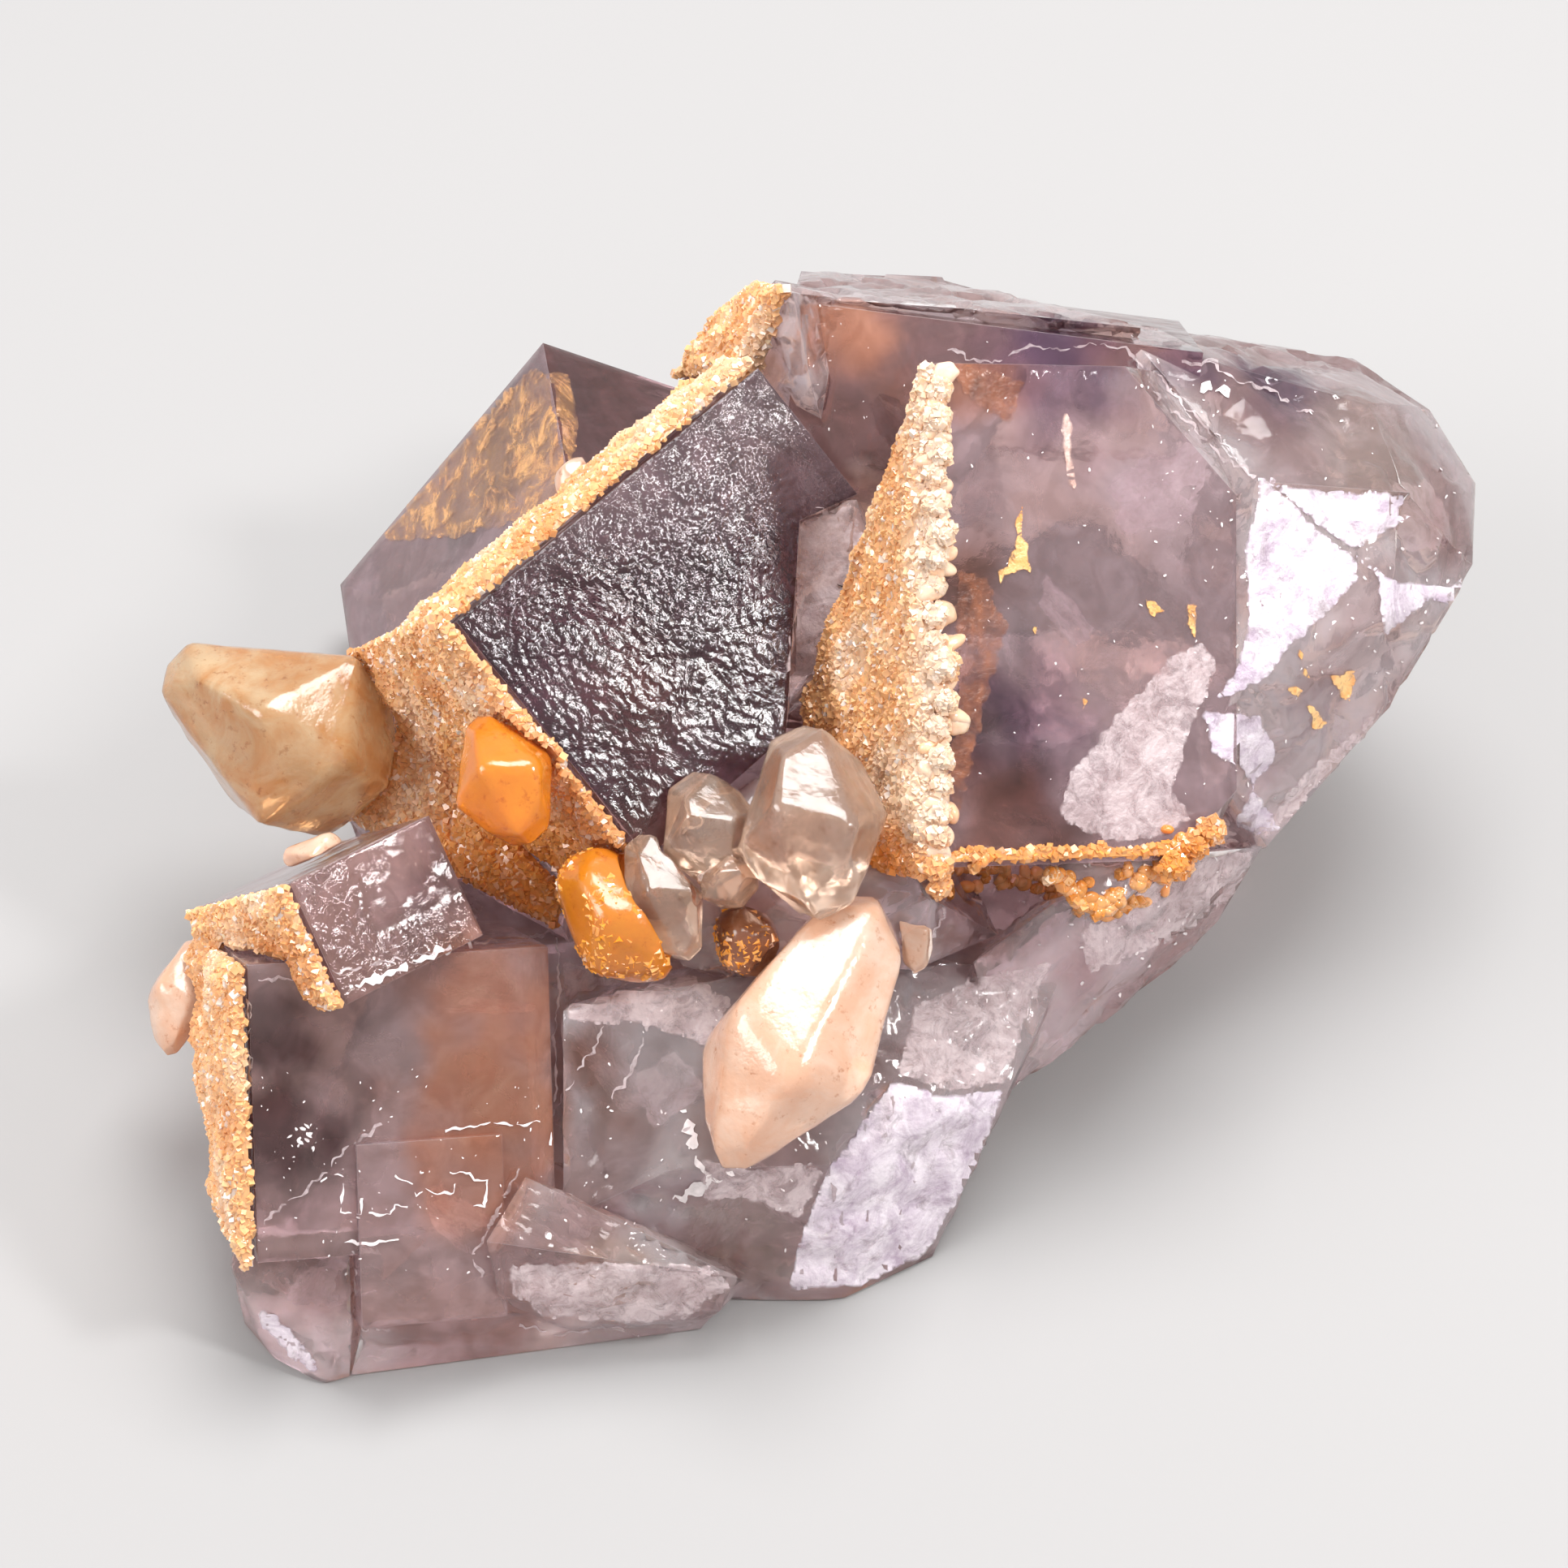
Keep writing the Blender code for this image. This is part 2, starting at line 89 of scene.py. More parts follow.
DARK_VIOLET = seen(66, 46, 54)
DARK_BROWN = seen(84, 54, 46)
UMBER = seen(132, 84, 62)
SHADOW = seen(62, 38, 38)
MAUVE = seen(194, 170, 174)
DUSK = seen(122, 92, 92)
ROSE = seen(190, 162, 160)
LAVENDER = seen(150, 122, 140)
VIOLET = seen(82, 62, 94)
# Painted glow: brown light from the crust on hidden faces, reflected and refracted through the clear crystal
PAINTED_GLOW = seen(228, 146, 108)
SMOKE = seen(160, 136, 124)
OLIVE = seen(202, 184, 176)
CLEAR = seen(246, 234, 236)
VEIL = seen(252, 242, 246)
STAIN = seen(232, 144, 56)
PEACH = seen(252, 186, 130)
TAN = seen(232, 158, 100)
CREAM = seen(252, 226, 202)
ORANGE = seen(248, 156, 44)


def turn_of(azimuth, elevation, roll=0.0):
    """Rotation that points +Z in a direction, rolled about it."""
    look = Matrix.Rotation(radians(azimuth), 3, "Z") @ Matrix.Rotation(radians(90 - elevation), 3, "X")
    return look @ Matrix.Rotation(radians(roll), 3, "Z")


TURNS = {name: turn_of(*look, roll) for name, (_, look, roll, _) in CUBES.items()}
CENTRES = {name: Vector(values[0]) for name, values in CUBES.items()}


def in_cube(name, point):
    """A point in a cube's own axes: across, up and out from the middle of its front face."""
    return TURNS[name].transposed() @ (point - CENTRES[name])


def from_cube(name, across, up, out=0.0):
    return CENTRES[name] + TURNS[name] @ Vector((across, up, out))


def smooth(low, high, value):
    """0 below low, 1 above high, and a soft step between."""
    share = min(1.0, max(0.0, (value - low) / (high - low)))
    return share * share * (3 - 2 * share)


def blend(one, other, share):
    return tuple(a + (b - a) * share for a, b in zip(one, other))


def mesh_of(node):
    """Clean closed bmesh of a solid, in millimetres, with its flat faces whole."""
    shape = bmesh.new()
    shape.from_mesh(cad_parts[node].data)
    bmesh.ops.scale(shape, vec=(1 / MM, 1 / MM, 1 / MM), verts=shape.verts)
    bmesh.ops.remove_doubles(shape, verts=shape.verts, dist=0.002)
    return shape


def new_piece(name, mesh, nodes):
    """Object that rides on the body and stands for solids. It is kept inside the solids' box."""
    places = np.empty(len(mesh.vertices) * 3, np.float32)
    mesh.vertices.foreach_get("co", places)
    mesh.vertices.foreach_set("co", np.clip(places.reshape(-1, 3), *CAD_BOX).ravel())
    piece = bpy.data.objects.new(name, mesh)
    bpy.context.collection.objects.link(piece)
    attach(piece, "root")
    if nodes:
        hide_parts(*nodes)
    return piece


def refine(shape, longest):
    """Splits edges until none in the chosen faces is longer than longest(face) allows."""
    bmesh.ops.triangulate(shape, faces=shape.faces)
    for _ in range(9):
        long = set()
        for face in shape.faces:
            limit = longest(face)
            long.update(edge for edge in face.edges if edge.calc_length() > limit)
        if not long:
            break
        bmesh.ops.subdivide_edges(shape, edges=list(long), cuts=1)
        bmesh.ops.triangulate(shape, faces=[face for face in shape.faces if len(face.verts) > 3])


# Materials

def principled(name, **values):
    """Material with a Principled shader whose sockets hold the given values."""
    made = bpy.data.materials.new(name)
    made.use_nodes = True
    shader = made.node_tree.nodes["Principled BSDF"]
    for socket, value in values.items():
        shader.inputs[socket.replace("_", " ")].default_value = value
    return made, shader


def add(tree, kind, **values):
    """Node with its sockets set by name."""
    node = tree.nodes.new(kind)
    for socket, value in values.items():
        node.inputs[socket].default_value = value
    return node


def noise_node(tree, scale, detail=4.0, roughness=0.5, distortion=0.0):
    """Noise in the piece's own coordinates. The scale is in waves per millimetre."""
    place = tree.nodes.new("ShaderNodeTexCoord")
    made = add(tree, "ShaderNodeTexNoise", Scale=scale / MM, Detail=detail, Roughness=roughness,
               Distortion=distortion)
    tree.links.new(place.outputs["Object"], made.inputs["Vector"])
    return made.outputs["Fac"]


def ramp(tree, value, stops):
    """Colour ramp. Each stop is a position and a grey value or a colour."""
    made = tree.nodes.new("ShaderNodeValToRGB")
    points = made.color_ramp.elements
    while len(points) < len(stops):
        points.new(0.5)
    for point, (position, colour) in zip(points, stops):
        point.position = position
        point.color = (*colour, 1) if isinstance(colour, tuple) else (colour, colour, colour, 1)
    tree.links.new(value, made.inputs["Fac"])
    return made.outputs["Color"]


def mixed(tree, share, one, other, kind="MIX"):
    """Mix of two colours, each a socket or a value."""
    made = tree.nodes.new("ShaderNodeMix")
    made.data_type = "RGBA"
    made.blend_type = kind
    for socket, value in ((made.inputs["Factor"], share), (made.inputs[6], one), (made.inputs[7], other)):
        if isinstance(value, bpy.types.NodeSocket):
            tree.links.new(value, socket)
        else:
            socket.default_value = (*value, 1) if isinstance(value, tuple) else value
    return made.outputs[2]


def bumped(tree, shader, height, distance, strength=1.0):
    """Bump from a height in millimetres. Heights are chained, the newest last."""
    made = add(tree, "ShaderNodeBump", Strength=strength, Distance=distance * MM)
    tree.links.new(height, made.inputs["Height"])
    for link in shader.inputs["Normal"].links:
        tree.links.new(link.from_socket, made.inputs["Normal"])
    tree.links.new(made.outputs["Normal"], shader.inputs["Normal"])


def absorb(tree, colour, density):
    """Plain absorption inside a piece. The density is per metre."""
    inside = add(tree, "ShaderNodeVolumeAbsorption", Color=(*colour, 1), Density=density)
    tree.links.new(inside.outputs["Volume"], tree.nodes["Material Output"].inputs["Volume"])


def attribute(tree, name):
    made = tree.nodes.new("ShaderNodeAttribute")
    made.attribute_name = name
    return made


def fluorite_material():
    """Clear crystal: its tint and haze are in the mesh, fine wisps and growth marks are nodes."""
    made, shader = principled("clear_fluorite", Roughness=0.06, IOR=1.434, Transmission_Weight=0.78)
    tree = made.node_tree
    tint = attribute(tree, "tint")
    wisps = ramp(tree, noise_node(tree, 0.35, 8.0, 0.62, 1.2), [(0.42, 0.0), (0.72, 1.0)])
    colour = mixed(tree, wisps, tint.outputs["Color"], VEIL, "SOFT_LIGHT")
    tree.links.new(colour, shader.inputs["Base Color"])
    rough = tree.nodes.new("ShaderNodeMath")
    rough.operation = "MULTIPLY_ADD"
    tree.links.new(attribute(tree, "haze").outputs["Fac"], rough.inputs[0])
    rough.inputs[1].default_value = 0.45
    rough.inputs[2].default_value = 0.04
    tree.links.new(rough.outputs[0], shader.inputs["Roughness"])
    bumped(tree, shader, noise_node(tree, 0.25, 3.0), 0.25)
    bumped(tree, shader, noise_node(tree, 2.5, 6.0, 0.6), 0.012)
    gritty = mixed(tree, attribute(tree, "grit").outputs["Fac"], (0.0, 0.0, 0.0),
                   noise_node(tree, 3.4, 2.0, 0.6, 0.4))
    bumped(tree, shader, gritty, 0.05)
    absorb(tree, (0.78, 0.70, 0.76), 40.0)
    return made


def druse_material(name, rough, pitted):
    """Tiny glassy crystals or lobes of calcite, coloured one by one in the mesh."""
    made, shader = principled(name, Roughness=rough, IOR=1.54, Coat_Weight=0.5,
                              Coat_Roughness=0.06, Subsurface_Weight=0.3,
                              Subsurface_Radius=(1.0, 0.5, 0.3), Subsurface_Scale=0.6 * MM)
    tree = made.node_tree
    grain = ramp(tree, noise_node(tree, 1.6, 3.0), [(0.3, (0.82, 0.72, 0.66)), (0.7, (1.0, 1.0, 1.0))])
    tone = attribute(tree, "tint").outputs["Color"]
    tree.links.new(mixed(tree, 1.0, tone, grain, "MULTIPLY"), shader.inputs["Base Color"])
    bumped(tree, shader, noise_node(tree, 6.0 if pitted < 0.02 else 1.8, 3.0), pitted)
    return made


def calcite_material(name, colour, cloud, clear, rough, density, share=0.5):
    """Blunt calcite: a body colour with clouds in it, lined across, waxy to glassy."""
    made, shader = principled(name, IOR=1.56, Transmission_Weight=clear, Roughness=rough,
                              Coat_Weight=0.3, Coat_Roughness=0.08)
    tree = made.node_tree
    clouds = ramp(tree, noise_node(tree, 0.32, 6.0, 0.6, 0.6), [(0.35, 0.0), (0.35 + share / 2, 1.0)])
    body = mixed(tree, clouds, colour, cloud)
    specks = ramp(tree, noise_node(tree, 1.5, 5.0, 0.7), [(0.30, (0.62, 0.40, 0.26)), (0.42, (1.0, 1.0, 1.0))])
    tree.links.new(mixed(tree, 0.8, body, specks, "MULTIPLY"), shader.inputs["Base Color"])
    bumped(tree, shader, noise_node(tree, 0.5, 4.0), 0.15)
    bumped(tree, shader, noise_node(tree, 3.0, 5.0, 0.6), 0.015)
    absorb(tree, colour, density)
    return made


def veil_material(name, colour, shade, solid, waves=0.9, edge=(0.30, 0.55)):
    """Pearly fracture or film that fades at its rim and lets the crystal behind it show."""
    made, shader = principled(name, Roughness=0.24, IOR=1.5, Coat_Weight=0.5, Coat_Roughness=0.08)
    tree = made.node_tree
    tone = ramp(tree, noise_node(tree, 0.45, 7.0, 0.7, 0.8), [(0.36, shade), (0.60, colour)])
    tree.links.new(tone, shader.inputs["Base Color"])
    low, high = edge
    cover = ramp(tree, noise_node(tree, waves, 7.0, 0.7, 0.8), [(low, solid * 0.25), (high, solid)])
    inside = ramp(tree, attribute(tree, "cover").outputs["Fac"], [(0.0, 0.0), (0.6, 1.0)])
    tree.links.new(mixed(tree, 1.0, cover, inside, "MULTIPLY"), shader.inputs["Alpha"])
    bumped(tree, shader, noise_node(tree, 0.5, 5.0, 0.6), 0.3)
    bumped(tree, shader, noise_node(tree, 2.2, 5.0, 0.6), 0.06)
    return made


def flake_material(name, colour, rough):
    """Small opaque mark: scar, chip of stain or fibre, and the painted highlight lines and painted glint."""
    made, shader = principled(name, Roughness=rough, IOR=1.5)
    tree = made.node_tree
    shade = ramp(tree, noise_node(tree, 2.0, 4.0), [(0.3, blend(colour, (0, 0, 0), 0.3)), (0.7, colour)])
    tree.links.new(shade, shader.inputs["Base Color"])
    bumped(tree, shader, noise_node(tree, 5.0, 3.0), 0.03)
    return made


# Fluorite

def face_names(shape):
    """The name of the cube side that each face lies on, or None on a broken face."""
    planes = []
    for name, (_, _, _, size) in CUBES.items():
        for side, (axis, sign) in SIDES.items():
            out = TURNS[name].col[axis] * sign
            through = CENTRES[name] + out * (size[axis] / 2 if axis < 2 else 0)
            planes.append((name + "." + side, out, out.dot(through)))
    names = shape.faces.layers.int.new("side")
    for face in shape.faces:
        middle = face.calc_center_median()
        face[names] = -1
        for index, (_, out, distance) in enumerate(planes):
            if out.dot(face.normal) > 0.9995 and abs(out.dot(middle) - distance) < 0.03:
                face[names] = index
    return [plane[0] for plane in planes], names


# Longest edge left on the faces with fine relief, on other crystal faces and on broken ones
FINE, FACE, BROKEN = 0.29, 1.1, 0.80
# The worn bevels are real geometry; their near-white colour is a painted highlight along the edges
CHIPPED = 0.12         # width of the worn bevel along the crystal's edges
WORN_HIGHLIGHT = -2              # mark of a face on such a bevel


def cobbles(place, size):
    """Height of small rounded growth hillocks, 0 in the grooves to 1 on top."""
    near = noise.voronoi(place / size)[0]
    return smooth(0.0, 0.45, near[1] - near[0]) * (0.6 + 0.4 * noise.noise(place * 0.8))


def chips(point, size):
    """Height of flat chips, each tilted its own way."""
    middle = noise.voronoi(point / size)[1][0] * size
    tilt = Vector([noise.noise(middle * 0.37 + Vector((0, 0, 9 * axis + 2))) for axis in range(3)])
    return (point - middle).dot(tilt)


def silver_share(across, up):
    """1 on the gritty L along the small cube's left and lower edges, 0 on its clear part."""
    return 1 - smooth(-1.6, -0.6, across) * smooth(-1.6, -0.8, up)


def relief(name, point):
    """How far a point of a face stands out of its plane."""
    across, up, _ = in_cube(name.split(".")[0], point)
    if name == "dark.front":
        ripple = 0.5 + 0.5 * noise.noise(Vector((across * 0.9 + up * 0.9, up * 0.35 - across * 0.35, 3)))
        strength = 0.5 + 0.5 * smooth(-6.0, 8.0, across * 0.5 + up)
        return strength * 0.08 * cobbles(Vector((across, up * 1.3, 0)), 0.58) + 0.02 * ripple
    if name == "small.front":
        return silver_share(across, up) * 0.14 * cobbles(Vector((across * 1.5, up * 0.8, 0)), 0.7)
    return 0.0


def grit_at(name, point):
    """Strength of the finest glitter on a face."""
    if name == "dark.front":
        across, up, _ = in_cube("dark", point)
        return 0.45 + 0.55 * smooth(-6.0, 8.0, across * 0.5 + up)
    if name == "small.front":
        across, up, _ = in_cube("small", point)
        return silver_share(across, up)
    return 0.0


def fracture(point):
    """Chips, shell-like ripples and steps of a broken surface."""
    swell = noise.noise(point * 0.16) * 0.14
    rings = sin(point.length * 1.3 + 4 * noise.noise(point * 0.12)) * 0.04
    steps = abs(noise.noise(point * 0.7 + Vector((7, 3, 5)))) * 0.14
    return max(-0.35, min(0.15, swell + rings - steps + 0.42 * chips(point, 3.4) + 0.2 * chips(point, 1.5)))


# Stains, veils, painted glow and painted shade: centre, radius, colour, how strong, and how hazy the surface is there
SPOTS = [
    # Front-left cube: painted glow in brown from the crust behind, painted shade down its left side, grey below
    ((-16.1, -14.2, 16.8), 4.5, PAINTED_GLOW, 0.75, 0.0),
    ((-15.6, -18.0, 13.4), 5.0, PAINTED_GLOW, 0.85, 0.0),
    ((-16.5, -21.2, 10.8), 4.0, PAINTED_GLOW, 0.6, 0.0),
    ((-26.8, -17.3, 17.8), 4.2, SHADOW, 0.95, 0.0),
    ((-26.8, -21.0, 14.0), 4.6, SHADOW, 0.95, 0.0),
    ((-18.2, -9.7, 21.8), 3.0, DUSK, 0.9, 0.0),
    # Right cube: painted glow and violet at the top, umber and painted shade down its left side, clear to the right
    ((10.6, 9.7, 40.6), 3.2, PAINTED_GLOW, 0.9, 0.0),
    ((15.0, 11.5, 39.0), 4.5, VIOLET, 0.8, 0.0),
    ((9.8, 1.2, 33.2), 3.2, UMBER, 0.85, 0.0),
    ((10.6, -4.0, 28.0), 4.5, SHADOW, 0.85, 0.0),
    ((13.7, -4.2, 27.0), 4.5, VIOLET, 0.5, 0.0),
    ((12.0, -8.0, 23.0), 4.6, UMBER, 0.8, 0.0),
    ((14.5, -7.0, 23.5), 4.0, SHADOW, 0.6, 0.0),
    # Back cube: painted glow and brown behind its left corner, violet bands under its top edge
    ((3.3, 19.0, 35.2), 3.2, PAINTED_GLOW, 0.7, 0.0),
    ((3.4, 15.0, 30.0), 4.0, DARK_BROWN, 0.7, 0.0),
    ((15.1, 17.9, 34.1), 4.0, VIOLET, 0.8, 0.0),
    ((28.0, 17.8, 31.6), 4.0, VIOLET, 0.8, 0.0),
    ((22.0, 18.0, 33.0), 2.5, VIOLET, 0.6, 0.0),
    # Pale crystal in the gap
    ((2.0, 7.8, 26.1), 6.0, seen(228, 196, 182), 0.95, 0.1),
    # Broken right end: greenish grey above, pale below
    ((33.5, 14.6, 29.4), 5.5, OLIVE, 0.8, 0.05),
    ((33.3, 7.1, 24.7), 4.0, ROSE, 0.7, 0.05),
    ((29.0, 2.0, 17.0), 5.5, VEIL, 0.95, 0.35),
    # Broken front: brown stripe, olive patch
    ((-10.0, -16.3, 13.8), 2.8, UMBER, 0.9, 0.1),
    ((-9.0, -18.5, 11.5), 2.4, UMBER, 0.6, 0.1),
    ((-2.9, -21.7, 6.1), 4.0, OLIVE, 0.7, 0.1),
    ((-1.0, -22.0, 3.0), 3.0, SMOKE, 0.6, 0.1),
    ((9.6, -12.1, 11.8), 5.0, CLEAR, 0.8, 0.1),
    ((-6.4, -15.8, 13.9), 3.6, CLEAR, 0.7, 0.1),
    ((6.9, -18.2, 7.3), 5.0, CLEAR, 0.9, 0.1),
    ((10.6, -7.3, 13.8), 3.0, ROSE, 0.7, 0.1),
    ((-9.5, -25.4, 6.2), 3.0, seen(226, 186, 160), 0.7, 0.1),
    # Back-left cube: orange behind its left face
    ((-17.0, 24.7, 19.0), 4.0, SMOKE, 0.6, 0.1),
]

SPOTS = [(Vector(centre), *rest) for centre, *rest in SPOTS]
SPOT_END = 1.25        # a spot ends at this many times its radius

FACE_TINTS = {
    "right.front": MAUVE, "back.front": DUSK, "front.front": ROSE, "small.front": seen(166, 132, 128),
    "back_left.front": DUSK, "back_left.right": DUSK, "back_left.top": DUSK, "back.top": DUSK,
    "under_front.front": ROSE, "dark.right": SHADOW,
}


def tint_at(name, point, normal):
    """Colour and haze of the crystal at a point of a face, with painted shade, painted glow and painted highlights in
    the colour.
    """
    if name == "dark.front":
        across, up, _ = in_cube("dark", point)
        share = smooth(-0.2, 0.5, noise.noise(point * 0.12) + 0.1) * smooth(6.0, -8.0, across)
        # Painted highlight: the dark face turns lighter towards its upper right, where the lamps glint on it
        painted_glints = 0.35 * smooth(2.0, 9.0, across * 0.5 + up)
        return blend(blend(DARK_VIOLET, DARK_BROWN, share), MAUVE, painted_glints), 0.12
    colour, haze = FACE_TINTS.get(name, MAUVE), 0.0
    # Worn bevels are painted near white and hazy: a painted highlight along the edges
    if name == "worn":
        return VEIL, 0.5
    if name is None:
        wave = smooth(-0.35, 0.3, noise.noise(point * 0.18))
        colour, haze = blend(ROSE, CLEAR, wave), 0.15 * smooth(0.1, 0.5, noise.noise(point * 0.3))
        hidden = smooth(0.1, -0.3, normal.dot(OPEN_SIDE))
        patchy = smooth(-0.25, 0.3, noise.noise(point * 0.2 + Vector((3, 3, 3))))
        colour, haze = blend(colour, blend(SMOKE, TAN, patchy), 0.6 * hidden), haze + 0.5 * hidden
    wobble = 0.5 * noise.noise(point * 0.5)
    for centre, radius, other, strength, hazy in SPOTS:
        away = (point - centre).length / radius + wobble
        if away < SPOT_END:
            share = strength * smooth(SPOT_END, 0.3, away)
            colour, haze = blend(colour, other, share), haze + (hazy - haze) * share
    return colour, haze


def wear_edges(shape, side):
    """Narrow bevels along the long sharp edges that stand out; their faces are marked to take a painted highlight."""
    edges = []
    for edge in shape.edges:
        if len(edge.link_faces) == 2 and edge.is_convex and edge.calc_length() > 1.5:
            large = min(face.calc_area() for face in edge.link_faces) > 2.0
            above = max(vert.co.z for vert in edge.verts) > 0.5
            if large and above and edge.calc_face_angle() > radians(28):
                edges.append(edge)
    made = bmesh.ops.bevel(shape, geom=edges, offset=CHIPPED, offset_type="OFFSET", segments=1,
                           profile=0.5, affect="EDGES", clamp_overlap=True)
    for face in made["faces"]:
        face[side] = WORN_HIGHLIGHT


def edge_limit(face, side, fine):
    if side in fine:
        return FINE
    if side >= 0:
        return FACE
    return BROKEN if face.normal.dot(OPEN_SIDE) > -0.2 else FACE


def fluorite():
    """The clear crystal: relief on the cobbled faces, ripples on the broken ones, tinted all over."""
    shape = mesh_of("fluorite")
    bmesh.ops.dissolve_limit(shape, angle_limit=radians(0.3), verts=shape.verts, edges=shape.edges)
    planes, side = face_names(shape)
    wear_edges(shape, side)
    fine = {planes.index("dark.front"), planes.index("small.front")}
    refine(shape, lambda face: edge_limit(face, face[side], fine))
    shape.normal_update()
    moves = []
    for vert in shape.verts:
        around = {face[side] for face in vert.link_faces}
        if around == {-1} and vert.co.z > 0.5:
            moves.append((vert, vert.normal * fracture(vert.co)))
        elif len(around) == 1 and around <= fine:
            moves.append((vert, vert.normal * relief(planes[around.pop()], vert.co)))
    for vert, move in moves:
        vert.co += move
    shape.normal_update()
    surface = BVHTree.FromBMesh(shape)
    mesh = bpy.data.meshes.new("fluorite_crystal")
    tints, hazes, grits = [], [], []
    known = {}
    shape.verts.index_update()
    for face in shape.faces:
        name = planes[face[side]] if face[side] >= 0 else "worn" if face[side] == WORN_HIGHLIGHT else None
        face.smooth = name is None or face[side] in fine
        for vert in face.verts:
            key = vert.index, name
            if key not in known:
                colour, haze = tint_at(name, vert.co, vert.normal)
                known[key] = (*colour, 1.0), haze, grit_at(name, vert.co)
            tint, haze, grit = known[key]
            tints.append(tint)
            hazes.append(haze)
            grits.append(grit)
    bmesh.ops.scale(shape, vec=(MM, MM, MM), verts=shape.verts)
    shape.to_mesh(mesh)
    shape.free()
    mesh.color_attributes.new("tint", "FLOAT_COLOR", "CORNER").data.foreach_set("color", np.ravel(tints))
    mesh.attributes.new("haze", "FLOAT", "CORNER").data.foreach_set("value", hazes)
    mesh.attributes.new("grit", "FLOAT", "CORNER").data.foreach_set("value", grits)
    mesh.set_sharp_from_angle(angle=radians(24))
    mesh.materials.append(fluorite_material())
    new_piece("fluorite_crystal", mesh, ["fluorite"])
    return surface


# Druse

GRAIN = np.array([(x, y, z) for x in (-1, 1) for y in (-1, 1) for z in (-1, 1)], float) * 0.5
GRAIN_FACES = [(0, 1, 3, 2), (4, 6, 7, 5), (0, 4, 5, 1), (2, 3, 7, 6), (0, 2, 6, 4), (1, 5, 7, 3)]
CORNER_UP = np.array(Matrix.Rotation(radians(54.74), 3, "X") @ Matrix.Rotation(radians(45), 3, "Z"))


def scattered(shape, spacing, facing, rng):
    """Points on the surface that look to the open side, none nearer than spacing, and their normals."""
    faces = [face for face in shape.faces if face.normal.dot(OPEN_SIDE) > facing]
    areas = np.array([face.calc_area() for face in faces])
    count = int(areas.sum() / spacing ** 2 * 2.2)
    taken, points, normals = set(), [], []
    for index in rng.choice(len(faces), count, p=areas / areas.sum()):
        corners = [vert.co for vert in faces[index].verts]
        s, t = rng.random(2)
        if s + t > 1:
            s, t = 1 - s, 1 - t
        place = corners[0] + (corners[1] - corners[0]) * s + (corners[2] - corners[0]) * t
        cell = tuple(int(value // spacing) for value in place)
        if cell not in taken:
            taken.add(cell)
            points.append(place)
            normals.append(faces[index].normal)
    return points, normals


def random_turn(normal, tilt, rng):
    """Rotation that takes +Z near a normal, tilted at random and spun."""
    lean = Vector(rng.normal(0, tilt, 3))
    aim = (normal + lean).normalized()
    spin = Matrix.Rotation(rng.random() * 2 * pi, 3, "Z")
    return np.array(aim.to_track_quat("Z", "Y").to_matrix() @ spin) @ CORNER_UP


def grow_grains(points, normals, spacing, tone, rng, verts, faces, tones):
    """Adds a corner-up cube at each point."""
    for place, normal in zip(points, normals):
        size = spacing * (0.75 + 0.65 * rng.random() ** 2)
        grain = GRAIN @ random_turn(normal, 0.35, rng).T * size
        first = len(verts)
        sunk = place - normal * (0.10 + size * 0.25)
        verts.extend(Vector(corner) + sunk for corner in grain)
        faces.extend([first + corner for corner in face] for face in GRAIN_FACES)
        tones.extend([tone(place, rng)] * 24)


def tinted_piece(name, verts, faces, tones, finish, nodes):
    """Piece with a colour in the mesh for each face corner."""
    mesh = bpy.data.meshes.new(name)
    mesh.from_pydata([vert * MM for vert in verts], [], faces)
    colours = mesh.color_attributes.new("tint", "FLOAT_COLOR", "CORNER")
    colours.data.foreach_set("color", np.ravel([(*colour, 1.0) for colour in tones]))
    mesh.materials.append(finish)
    return new_piece(name, mesh, nodes)


def druse(node, spacing, tone, seed, facing=-0.2):
    """Crust with a crystal grain on every few tenths of a millimetre of its surface."""
    rng = np.random.default_rng(seed)
    shape = mesh_of(node)
    bmesh.ops.triangulate(shape, faces=shape.faces)
    shape.normal_update()
    verts = [vert.co - vert.normal * 0.12 for vert in shape.verts]
    shape.verts.index_update()
    faces = [[vert.index for vert in face.verts] for face in shape.faces]
    tones = []
    for face in shape.faces:
        # Painted shade: the crust bed under the grains is a tenth darker than the grains on it
        tones.extend([blend(tone(face.calc_center_median(), rng), (0, 0, 0), 0.1)] * 3)
    points, normals = scattered(shape, spacing, facing, rng)
    grow_grains(points, normals, spacing, tone, rng, verts, faces, tones)
    shape.free()
    return tinted_piece(node + "_grains", verts, faces, tones, DRUSE, [node])


def sugar(name, pieces, spacing, tone, seed):
    """Grains scattered in patches on the upper sides of some calcites."""
    rng = np.random.default_rng(seed)
    verts, faces, tones = [], [], []
    for piece in pieces:
        shape = bmesh.new()
        shape.from_mesh(piece.data)
        bmesh.ops.scale(shape, vec=(1 / MM, 1 / MM, 1 / MM), verts=shape.verts)
        bmesh.ops.triangulate(shape, faces=shape.faces)
        shape.normal_update()
        found = [(place, normal) for place, normal in zip(*scattered(shape, spacing, 0.2, rng))
                 if noise.noise(place * 0.55) > -0.12 + 0.25 * rng.random()]
        places, normals = [place for place, _ in found], [normal for _, normal in found]
        grow_grains(places, normals, spacing, tone, rng, verts, faces, tones)
        shape.free()
    return tinted_piece(name, verts, faces, tones, DRUSE, [])


RIM_LOBES, FOOT_LOBES = 44, 130


